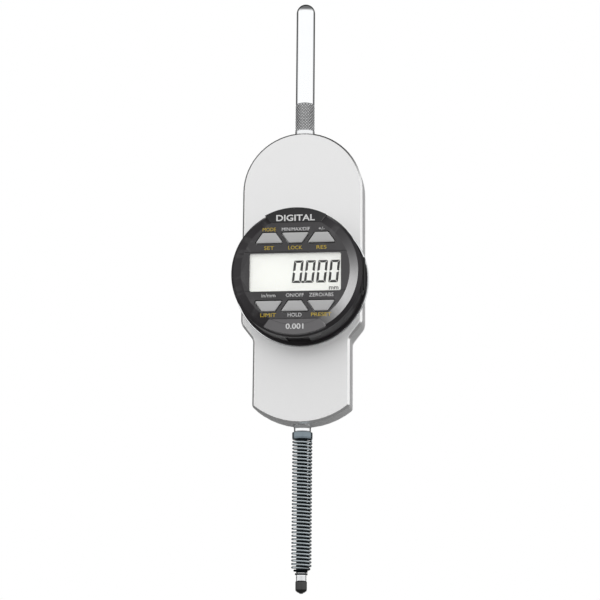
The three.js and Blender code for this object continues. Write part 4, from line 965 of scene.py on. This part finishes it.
def shell():
    """Rear shell: hub, floor and flange turned in one, and a barrel pierced for the drawer.

    The barrel is a grid of angle and depth. In the finger notch its radius is that of a flat
    across the foot, d / cos a.
    """
    hub_back, back = shell_high[1], ring_low[1] - 0.15
    flange_front = back - FLANGE_THICKNESS
    flange_radius = ring_high[0] - 0.6
    base_part = turned([
        (HUB_BORE, hub_back), (HUB_RADIUS, hub_back, 0.2), (HUB_RADIUS, back),
        (flange_radius, back, 0.15), (flange_radius, flange_front, 0.2),
        (SHELL_RADIUS - 0.1, flange_front), (SHELL_RADIUS - 0.1, back - SHELL_FLOOR),
        (HUB_BORE, back - SHELL_FLOOR),
    ], SIDES, False)
    drawer_half = tray_high[0] + DRAWER_GAP
    notch_level = SHELL_RADIUS - NOTCH_DEPTH
    drawer_front, drawer_back = cad("coin_cell")[0][1] - DRAWER_GAP, tray_high[1] + DRAWER_GAP
    notch_front, notch_back = drawer_back, back - 2 * FLANGE_THICKNESS
    drawer_turn, notch_turn = (math.asin(h / SHELL_RADIUS) for h in (drawer_half, NOTCH_HALF))
    hair = 0.004
    marks = [drawer_turn, -drawer_turn, notch_turn, notch_turn - hair, -notch_turn,
             hair - notch_turn]
    turn = np.unique(np.concatenate([np.linspace(-math.pi, math.pi, SIDES + 1)[:-1], marks]))
    y = np.unique(np.concatenate([
        np.linspace(SPLIT_Y, flange_front + 0.05, 12),
        [drawer_front, drawer_back, notch_back, notch_back - 0.05],
    ]))
    turns, depths = np.meshgrid(turn, y)
    middle_turn = (turn + np.roll(turn, -1)) / 2
    middle_turn[-1] = math.pi
    middle_y = (y[1:] + y[:-1]) / 2
    in_drawer = (middle_y > drawer_front) & (middle_y < drawer_back)
    keep = ~(in_drawer[:, None] & (np.abs(middle_turn) < drawer_turn)[None, :])
    in_notch = (np.abs(turns) < notch_turn - hair / 2) & (depths > notch_front - 0.01) \
        & (depths < notch_back - 0.02)
    radius = np.where(in_notch, notch_level / np.cos(turns), SHELL_RADIUS)

    def grid(r):
        return np.stack([r * np.sin(turns), depths, -r * np.cos(turns)], axis=-1)

    barrel = pierced_wall(grid(radius), grid(np.full_like(radius, SHELL_BORE)), keep)
    mesh = make_mesh("rear_shell", [base_part, barrel])
    place_piece("rear_shell", mesh, FINISHES["black_plastic"], "head", ["head_shell"],
                sharp=30)


def bezel():
    """Front of the head: a flat face with its openings, a bevel, a steeper rim and a hollow.

    The face is cut along two lines and sunk there to make the grooves, and the two ends of
    the face are sunk for the inlaid plates.
    """
    turn = np.linspace(0, 2 * math.pi, SIDES, endpoint=False)
    circle = np.stack([np.cos(turn), np.sin(turn)], axis=1)
    window = rectangle(WINDOW_WIDTH, WINDOW_HEIGHT, 0, WINDOW_CENTRE, WINDOW_CORNER)
    holes = [window] + [key_loop(key, KEY_GAP) for key in KEYS]
    rings = [(FLAT_RADIUS, FACE_Y), (BEVEL_RADIUS, FACE_Y + BEVEL_FALL), (HEAD_RADIUS, RIM_Y),
             (HEAD_RADIUS, SPLIT_Y),
             (SHELL_BORE, SPLIT_Y), (SHELL_BORE, RIM_Y), (INNER_FACE_RADIUS, BEZEL_INSIDE_Y)]
    parts = [
        flat_with_holes(FLAT_RADIUS * circle, holes, FACE_Y),
        flat_with_holes(INNER_FACE_RADIUS * circle, holes, BEZEL_INSIDE_Y),
        skin([on_face(r * circle, y) for r, y in rings]),
    ]
    parts += [skin([on_face(hole, FACE_Y), on_face(hole, BEZEL_INSIDE_Y)]) for hole in holes]
    mesh = make_mesh("face_bezel", parts)
    work = bmesh.new()
    work.from_mesh(mesh)

    def cut(at, way):
        geometry = list(work.verts) + list(work.edges) + list(work.faces)
        bmesh.ops.bisect_plane(work, geom=geometry, dist=1e-7,
                               plane_co=Vector(at) / PER_METRE, plane_no=way)

    def sink(chosen, depth):
        made = bmesh.ops.extrude_face_region(work, geom=chosen)["geom"]
        moved = [v for v in made if isinstance(v, bmesh.types.BMVert)]
        bmesh.ops.translate(work, verts=moved, vec=(0, depth / PER_METRE, 0))
        bmesh.ops.delete(work, geom=chosen, context="FACES")

    def on_the_face(test):
        middles = [(f, f.calc_center_median() * PER_METRE) for f in work.faces]
        return [f for f, middle in middles
                if f.normal.y < -0.3 and middle.y < FACE_Y + 0.01 and test(middle)]

    for z in GROOVES:
        cut((0, 0, z - GROOVE_HALF), (0, 0, 1))
        cut((0, 0, z + GROOVE_HALF), (0, 0, 1))
    for side in (1, -1):
        cut((0, 0, side * PLATE_EDGE), (0, 0, 1))
        for end in (1, -1):
            cut((end * PLATE_HALF, 0, side * PLATE_EDGE), (end, 0, -side * PLATE_LEAN))
    work.normal_update()
    for z in GROOVES:
        sink(on_the_face(lambda c: abs(c.z - z) < GROOVE_HALF), GROOVE_DEPTH)
    for side in (1, -1):
        work.normal_update()
        sink(on_the_face(lambda c: c.z * side > PLATE_EDGE and
                         abs(c.x) < PLATE_HALF + (c.z * side - PLATE_EDGE) * PLATE_LEAN),
             PLATE_RECESS)
    work.to_mesh(mesh)
    work.free()
    return place_piece("face_bezel", mesh, FINISHES["black_plastic"], "head", ["front_bezel"],
                       bevel=0.14, sharp=14)


def plate(name, node, side, material):
    """Inlaid plate between a straight edge and the rim of the head, and its skirt.

    Its sides lean out by PLATE_LEAN for each unit along z, until they meet the arc: there
    half + lean (z - edge) = x and x^2 + z^2 = reach^2. The skirt fills in behind the part that
    stands over the bevel.
    """
    def loop(inset):
        near = PLATE_EDGE + 0.2 + inset
        half = PLATE_HALF - 0.2 - inset
        radius = PLATE_REACH - inset
        offset = half - PLATE_LEAN * near
        square = 1 + PLATE_LEAN ** 2
        far = (-PLATE_LEAN * offset + math.sqrt(square * radius ** 2 - offset ** 2)) / square
        end = math.acos(far / radius)
        arc = np.linspace(end, -end, 25)
        outline = [(-half, near, 0.15), (half, near, 0.15)]
        outline += [(radius * math.sin(a), radius * math.cos(a), 0.0) for a in arc]
        return rounded_loop(outline, 3) * (1, side)

    def skirt_loop(inset):
        outline = loop(inset + 0.05)
        radius = np.hypot(outline[:, 0], outline[:, 1])
        return outline * np.maximum(1, (FLAT_RADIUS - 0.2 + inset) / radius)[:, None]

    sheet = slab(loop, FACE_Y + PLATE_RECESS + 0.02, FACE_Y + 0.05, 0.1)
    skirt = slab(skirt_loop, FACE_Y + PLATE_SKIRT, FACE_Y + 0.2, 0)
    return place_piece(name, make_mesh(name, [sheet, skirt]), material, "head", [node])


def key_cap(key):
    """Key with a rounded, slightly crowned top and a flange behind the bezel."""
    low, high = cad(key)
    top, foot = low[1], BEZEL_INSIDE_Y + 0.05
    angle = np.linspace(0, RIGHT_ANGLE, 5)
    flange = key_loop(key, KEY_FLANGE)
    rings = [pole(on_face(key_loop(key, 0.8), high[1])), on_face(flange, high[1]),
             on_face(flange, foot), on_face(key_loop(key), foot)]
    rings += [
        on_face(key_loop(key, -KEY_EDGE * (1 - math.cos(a))),
                top + KEY_CROWN + KEY_EDGE * (1 - math.sin(a)))
        for a in angle
    ]
    rings += [on_face(key_loop(key, -0.9), top + KEY_CROWN * 0.3),
              pole(on_face(key_loop(key, -1), top))]
    mesh = make_mesh(key + "_cap", [skin(rings)])
    place_piece(key + "_cap", mesh, FINISHES["key_plastic"], key + "_button", [key],
                sharp=40)


def drawer():
    """Battery drawer: a slab whose outer side follows the shell, pocketed for the cell.

    Its outline and the pocket share their polar angles about the cell, so the front face is
    spokes between them.
    """
    cell_low, cell_high = cad("coin_cell")
    centre_z = (cell_low[2] + cell_high[2]) / 2
    pocket = (cell_high[0] - cell_low[0]) / 2 + 0.2
    half, top = tray_high[0], tray_high[2]
    floor_y = cell_high[1] + 0.05
    notch, notch_floor, level = 5.5, 5.0, SHELL_RADIUS - 1.5

    def outline(inset):
        r, h = SHELL_RADIUS - inset, half - inset
        side, cut = math.asin(h / r), math.asin(notch / r)
        right = [(r * math.sin(a), -r * math.cos(a), 0.0) for a in np.linspace(cut, side, 8)]
        left = [(-x, z, q) for x, z, q in right[::-1]]
        return rounded_loop(
            [*left, (-notch_floor - inset, -level + inset, 0.2),
             (notch_floor + inset, -level + inset, 0.2), *right, (h, top - inset, 0.4),
             (-h, top - inset, 0.4)], 4)

    shape = outline(0)
    turn = np.arctan2(shape[:, 1] - centre_z, shape[:, 0])
    round_pocket = np.stack([pocket * np.cos(turn), centre_z + pocket * np.sin(turn)], axis=1)
    front, back, edge = tray_low[1], tray_high[1], 0.3
    rings = [pole(on_face(round_pocket, floor_y), (0, floor_y, centre_z)),
             on_face(round_pocket, floor_y), on_face(round_pocket, front),
             on_face(outline(edge), front)]
    angle = np.linspace(0, RIGHT_ANGLE, 4)[1:]
    rims = [(outline(edge * (1 - math.sin(a))), edge * (1 - math.cos(a))) for a in angle]
    rings += [on_face(rim, front + depth) for rim, depth in rims]
    rings += [on_face(rim, back - depth) for rim, depth in rims[::-1]]
    rings += [on_face(outline(edge), back), pole(rings[0], (0, back, centre_z))]
    mesh = make_mesh("cell_drawer", [skin(rings)])
    place_piece("cell_drawer", mesh, EXTRA["drawer"], "battery_drawer", ["battery_tray"])


def cell():
    """Coin cell: a stepped can with a rolled edge and a raised centre."""
    low, high = cad("coin_cell")
    r, z = (high[0] - low[0]) / 2, (low[2] + high[2]) / 2
    profile = [(0, low[1]), (r - 1.4, low[1], 0.2), (r - 1.1, low[1] + 0.35, 0.1),
               (r - 0.5, low[1] + 0.4, 0.2), (r, low[1] + 0.8, 0.3), (r, high[1], 0.3),
               (0, high[1])]
    mesh = make_mesh("battery_cell", [turned(profile, 96, False, (0, z))])
    place_piece("battery_cell", mesh, EXTRA["screw_steel"], "battery_drawer", ["coin_cell"])


def port():
    """Socket block on the right side, its outer end rounded, with a sunk socket."""
    low_y, high_y, low_z, high_z = port_low[1], port_high[1], port_low[2], port_high[2]
    end, edge = port_high[0], 1.6

    def loop(shrink_z, shrink_y, corner=0.5):
        return rectangle(high_y - low_y - 2 * shrink_y, high_z - low_z - 2 * shrink_z,
                         (low_y + high_y) / 2, (low_z + high_z) / 2, corner)

    angle = np.linspace(0, RIGHT_ANGLE, 6)
    rings = [pole(on_side(loop(0, 0), port_low[0])), on_side(loop(0, 0), port_low[0])]
    rings += [on_side(loop(edge * (1 - math.cos(a)), 0.4 * (1 - math.cos(a))),
                      end - edge * (1 - math.sin(a))) for a in angle]
    socket = loop((high_z - low_z) / 2 - 7.0, (high_y - low_y) / 2 - 1.6, 0.3)
    rings += [on_side(socket, end), on_side(socket, end - 4.6)]
    rings.append(pole(rings[-1]))
    mesh = make_mesh("port_block", [skin(rings)])
    place_piece("port_block", mesh, FINISHES["black_plastic"], "head", ["data_port"])


def port_cap():
    """Rubber cap: a pillowed lip and a plug in the socket."""
    y, z = (cap_low[1] + cap_high[1]) / 2, (cap_low[2] + cap_high[2]) / 2
    width, height = cap_high[1] - cap_low[1], cap_high[2] - cap_low[2]
    outer, inner = cap_high[0], cap_high[0] - 0.7
    lip = slab(lambda i: rectangle(width, height, y, z, 0.9, i), inner, outer, 0.25, on_side)
    plug = slab(lambda i: rectangle(2.9, 13.7, y, z, 0.3, i), cap_low[0], inner + 0.1, 0.2, on_side)
    mesh = make_mesh("socket_cap", [lip, plug])
    place_piece("socket_cap", mesh, FINISHES["rubber"], "port_cap", ["port_cover"])


# Display and legends

SEGMENT_ENDS = {
    "a": ((0, 2), (1, 2)), "b": ((1, 2), (1, 1)), "c": ((1, 1), (1, 0)), "d": ((0, 0), (1, 0)),
    "e": ((0, 1), (0, 0)), "f": ((0, 2), (0, 1)), "g": ((0, 1), (1, 1)),
}
ZERO = "abcdef"
DIGIT_HALF_STROKE = 0.56
DIGIT_WIDTH, DIGIT_HEIGHT, DIGIT_PITCH = 3.35, 9.5, 5.65
DIGIT_SLANT = math.tan(math.radians(6))
DIGIT_LEFT, DIGIT_FOOT = -1.3, -4.9
DIGIT_COUNT = 4
SEGMENT_GAP = 0.12
INK_DEPTH = 0.04
DOT_SIZE, DOT_LEFT = 1.1, 1.25
DISPLAY_Y = panel_low[1] - 0.01


def display_digits():
    """Seven-segment figures: each segment is a bar between two nodes of the figure, its outer
    side the longer, leaned over by the slant."""
    parts = []
    for place in range(DIGIT_COUNT):
        left = DIGIT_LEFT + place * DIGIT_PITCH
        for name in ZERO:
            ends = np.array(SEGMENT_ENDS[name], float) * (DIGIT_WIDTH, DIGIT_HEIGHT / 2)
            way = (ends[1] - ends[0]) / np.linalg.norm(ends[1] - ends[0])
            side = np.array((-way[1], way[0])) * DIGIT_HALF_STROKE
            centre = np.array((DIGIT_WIDTH, DIGIT_HEIGHT)) / 2
            outer = side if (ends.mean(0) - centre) @ side > 0 else -side
            tips = np.array([
                -DIGIT_HALF_STROKE if abs(end[1] - DIGIT_HEIGHT / 2) > 0.1 else 0.0 for end in ends
            ]) + SEGMENT_GAP
            inner_tip = SEGMENT_GAP + DIGIT_HALF_STROKE
            bar = np.array([
                ends[0] + outer + way * tips[0], ends[0] - outer + way * inner_tip,
                ends[1] - outer - way * inner_tip, ends[1] + outer - way * tips[1],
            ])
            bar += (left, DIGIT_FOOT)
            bar[:, 0] += (bar[:, 1] - DIGIT_FOOT) * DIGIT_SLANT
            parts.append(slab(lambda inset, bar=bar: bar, DISPLAY_Y, DISPLAY_Y - INK_DEPTH, 0))
    dot = rectangle(DOT_SIZE, DOT_SIZE, DIGIT_LEFT + DIGIT_WIDTH + DOT_LEFT, DIGIT_FOOT - 0.1, 0.2)
    parts.append(slab(lambda inset: dot, DISPLAY_Y, DISPLAY_Y - INK_DEPTH, 0))
    place_piece("display_figures", make_mesh("display_figures", parts), EXTRA["segments"], "head",
                sharp=30)


def lettering(name, rows, material, depth, weight=0.0):
    """Raised lettering: rows of (text, x, z, letter height, width), made one mesh.

    Each row is scaled to its letter height and, where a width is given, to that width, and
    centred on its place.
    """
    points, faces, first = [], [], 0
    for text, x, z, tall, wide in rows:
        curve = bpy.data.curves.new("row", "FONT")
        curve.body = text
        curve.extrude = 0.02
        curve.offset = weight
        curve.resolution_u = 3
        letter = bpy.data.objects.new("row", curve)
        bpy.context.scene.collection.objects.link(letter)
        bpy.context.view_layer.update()
        mesh = bpy.data.meshes.new_from_object(letter)
        spots = np.zeros(len(mesh.vertices) * 3)
        mesh.vertices.foreach_get("co", spots)
        spots = spots.reshape(-1, 3)
        low, high = spots.min(0), spots.max(0)
        scale = tall / (high[1] - low[1])
        stretch = wide / (high[0] - low[0]) if wide else scale
        across = x + (spots[:, 0] - (low[0] + high[0]) / 2) * stretch
        up = z + (spots[:, 1] - (low[1] + high[1]) / 2) * scale
        points.append(np.stack([across, depth - spots[:, 2], up], axis=1))
        faces += [[first + v for v in polygon.vertices] for polygon in mesh.polygons]
        first += len(spots)
        bpy.data.objects.remove(letter)
        bpy.data.curves.remove(curve)
        bpy.data.meshes.remove(mesh)
    made = make_mesh(name, [(np.vstack(points), faces)])
    place_piece(name, made, material, "head", sharp=30)


# Scene

STUDIO_AXIS = (-0.127, 0.968, 0.216)
SOFT_LEVEL = 1.38

# Ramps as (from, to, level before, level after), along the axis and over |z|
BEHIND = (0.2, 0.62, 1.0, 0.07)
IN_FRONT = (-1.0, -0.9, 1.1, 1.4)
OVERHEAD = (0.38, 0.85, 1.0, 0.16)

BEVEL_LIGHT = {"place": (0.47, -0.77, -0.06), "aim": (0, -0.03, 0), "size": 0.5, "power": 34.0}
FLOOR_HALF, FLOOR_LEVEL = 1.5, -0.30
FLOOR_UNSEEN = 0.2


def studio():
    """Soft studio: white to the camera, and a broad soft surround to everything else.

    The surround that gloss mirrors is brightest at the sides and a little dimmer straight in
    front. It falls off overhead, underneath and along the studio's axis behind the part.
    """
    world = bpy.data.worlds.new("studio")
    bpy.context.scene.world = world
    world.use_nodes = True
    tree = world.node_tree
    tree.nodes.clear()
    out = tree.nodes.new("ShaderNodeOutputWorld")
    way = tree.nodes.new("ShaderNodeTexCoord")

    def ramp(source, low, high, at_low, at_high):
        node = tree.nodes.new("ShaderNodeMapRange")
        node.interpolation_type = "SMOOTHSTEP"
        labels = ("From Min", "From Max", "To Min", "To Max")
        for label, value in zip(labels, (low, high, at_low, at_high)):
            node.inputs[label].default_value = value
        link(tree, source, node.inputs["Value"])
        return node.outputs["Result"]

    away = tree.nodes.new("ShaderNodeVectorMath")
    away.operation = "DOT_PRODUCT"
    link(tree, way.outputs["Generated"], away.inputs[0])
    away.inputs[1].default_value = STUDIO_AXIS
    behind = ramp(away.outputs["Value"], *BEHIND)
    front = ramp(away.outputs["Value"], *IN_FRONT)
    split = tree.nodes.new("ShaderNodeSeparateXYZ")
    link(tree, way.outputs["Generated"], split.inputs[0])
    upright = ramp(math_node(tree, "ABSOLUTE", split.outputs["Z"]), *OVERHEAD)
    level = math_node(tree, "MULTIPLY", math_node(tree, "MULTIPLY", behind, front), upright)
    seen = tree.nodes.new("ShaderNodeLightPath")
    soft = tree.nodes.new("ShaderNodeMix")
    link(tree, seen.outputs["Is Diffuse Ray"], soft.inputs["Factor"])
    link(tree, level, soft.inputs["A"])
    soft.inputs["B"].default_value = SOFT_LEVEL
    surround = tree.nodes.new("ShaderNodeBackground")
    link(tree, soft.outputs["Result"], surround.inputs["Strength"])
    plain = tree.nodes.new("ShaderNodeBackground")
    plain.inputs["Color"].default_value = (1, 1, 1, 1)
    mix = tree.nodes.new("ShaderNodeMixShader")
    link(tree, seen.outputs["Is Camera Ray"], mix.inputs["Fac"])
    link(tree, surround.outputs[0], mix.inputs[1])
    link(tree, plain.outputs[0], mix.inputs[2])
    link(tree, mix.outputs[0], out.inputs["Surface"])
    bpy.context.scene.view_settings.view_transform = "Standard"


def gloss_light(name, place, aim, size, power):
    """Square light that shows in gloss only, at a place and turned to its aim, in metres."""
    light = bpy.data.lights.new(name, "AREA")
    light.size = size
    light.energy = power
    lamp = bpy.data.objects.new(name, light)
    lamp.visible_diffuse = False
    bpy.context.scene.collection.objects.link(lamp)
    way = Vector(aim) - Vector(place)
    turn = way.to_track_quat("-Z", "Y").to_matrix().to_4x4()
    lamp.matrix_world = Matrix.Translation(place) @ turn
    return lamp


def floor():
    """Floor well below the part: pale to the camera, and dim to every other ray."""
    mesh = bpy.data.meshes.new("floor")
    corners = [(x * FLOOR_HALF, y * FLOOR_HALF, FLOOR_LEVEL)
               for x, y in ((-1, -1), (1, -1), (1, 1), (-1, 1))]
    mesh.from_pydata(corners, [], [(0, 1, 2, 3)])
    piece = bpy.data.objects.new("floor", mesh)
    bpy.context.scene.collection.objects.link(piece)
    pale = finish_material("pale_floor", grey(0.86), grey(0.84), 0.7, grain=400, marks=6, bump=0.05)
    tree = pale.node_tree
    shader = tree.nodes["Principled BSDF"]
    seen = tree.nodes.new("ShaderNodeLightPath")
    dim = tree.nodes.new("ShaderNodeMix")
    dim.data_type = "RGBA"
    link(tree, seen.outputs["Is Camera Ray"], dim.inputs["Factor"])
    dim.inputs["A"].default_value = (*grey(FLOOR_UNSEEN), 1)
    link(tree, shader.inputs["Base Color"].links[0].from_socket, dim.inputs["B"])
    link(tree, dim.outputs["Result"], shader.inputs["Base Color"])
    mesh.materials.append(pale)


CAMERA_DISTANCE = 0.8
CAMERA_SIDE = math.radians(7.5)
CAMERA_RISE = math.radians(-12.5)
CAMERA_ROLL = math.radians(0.5)
CAMERA_LENS, CAMERA_SENSOR = 101.5, 36
CAMERA_SHIFT = (-0.0025, -0.0317)


def camera():
    """Camera on the dial's middle at the case front, from the right and below, rolled a little."""
    side, rise = CAMERA_SIDE, CAMERA_RISE
    back = Vector((math.sin(side) * math.cos(rise), -math.cos(side) * math.cos(rise),
                   math.sin(rise)))
    right = Vector((math.cos(side), math.sin(side), 0))
    up = back.cross(right)
    turned_right = right * math.cos(CAMERA_ROLL) + up * math.sin(CAMERA_ROLL)
    turned_up = up * math.cos(CAMERA_ROLL) - right * math.sin(CAMERA_ROLL)
    lens = bpy.data.cameras.new("camera")
    lens.lens = CAMERA_LENS
    lens.sensor_width = CAMERA_SENSOR
    lens.shift_x, lens.shift_y = CAMERA_SHIFT
    view = bpy.data.objects.new("camera", lens)
    bpy.context.scene.collection.objects.link(view)
    anchor = Vector((0, CASE_FRONT / PER_METRE, 0))
    turn = Matrix((turned_right, turned_up, back)).transposed().to_4x4()
    view.matrix_world = Matrix.Translation(anchor + back * CAMERA_DISTANCE) @ turn
    bpy.context.scene.camera = view


# Everything made

case_body()
cover()
lug()
for kind, count in (("cover_screw", 4), ("lug_screw", 2)):
    for number in range(1, count + 1):
        screw_head(kind, number)
stem()
knurled_grip()
tube()
spring()
spindle()
contact()
base()
shell()
face_pieces = [
    bezel(), plate("upper_plate", "name_plate", 1, FINISHES["printed_plate"]),
    plate("lower_plate", "range_plate", -1, EXTRA["lower_plate"]),
]
for key_name in KEYS:
    key_cap(key_name)
drawer()
cell()
port()
port_cap()
display_digits()

LEGEND_Y = FACE_Y - 0.01
PLATE_Y = FACE_Y + 0.04
LEGEND_LINES = (19.5, 10.7, -11.7, -20.9)
over_upper, under_upper, over_lower, under_lower = LEGEND_LINES
lettering("unit_legend", [("mm", 17.6, -8.1, 1.5, 0)], EXTRA["segments"], DISPLAY_Y - 0.02, 0.02)
lettering("white_legends", [
    ("MIN/MAX/DIF", 0.2, over_upper, 1.6, 13.0), ("+/-", KEY_PITCH, over_upper, 1.6, 2.8),
    ("in/mm", -KEY_PITCH, over_lower, 1.7, 6.4), ("ON/OFF", 0, over_lower, 1.7, 8.2),
    ("ZERO/ABS", KEY_PITCH, over_lower, 1.7, 11.2), ("HOLD", 0, under_lower, 1.7, 6.4),
], EXTRA["white_ink"], LEGEND_Y)
lettering("yellow_legends", [
    ("MODE", -KEY_PITCH, over_upper, 1.7, 6.2), ("SET", -KEY_PITCH, under_upper, 1.7, 4.6),
    ("LOCK", 0, under_upper, 1.7, 6.4), ("RES", KEY_PITCH, under_upper, 1.7, 4.6),
    ("LIMIT", -KEY_PITCH, under_lower, 1.7, 7.2), ("PRESET", KEY_PITCH, under_lower, 1.7, 9.2),
], EXTRA["yellow_ink"], LEGEND_Y)
lettering("plate_legends", [
    ("DIGITAL", 0, 24.9, 3.0, 18.0), ("0.001", 0, -26.2, 2.6, 8.2),
], EXTRA["white_ink"], PLATE_Y, 0.02)

for row in frame["record"]["subparts"]:
    part = frame["nodes"][row["node"]]
    part.data.materials.clear()
    part.data.materials.append(FINISHES[row["material_slot"]])

studio()
bevel_light = gloss_light("bevel_light", **BEVEL_LIGHT)
lit = bpy.data.collections.new("lit_by_bevel_light")
for face_piece in face_pieces:
    lit.objects.link(face_piece)
bevel_light.light_linking.receiver_collection = lit
floor()
camera()
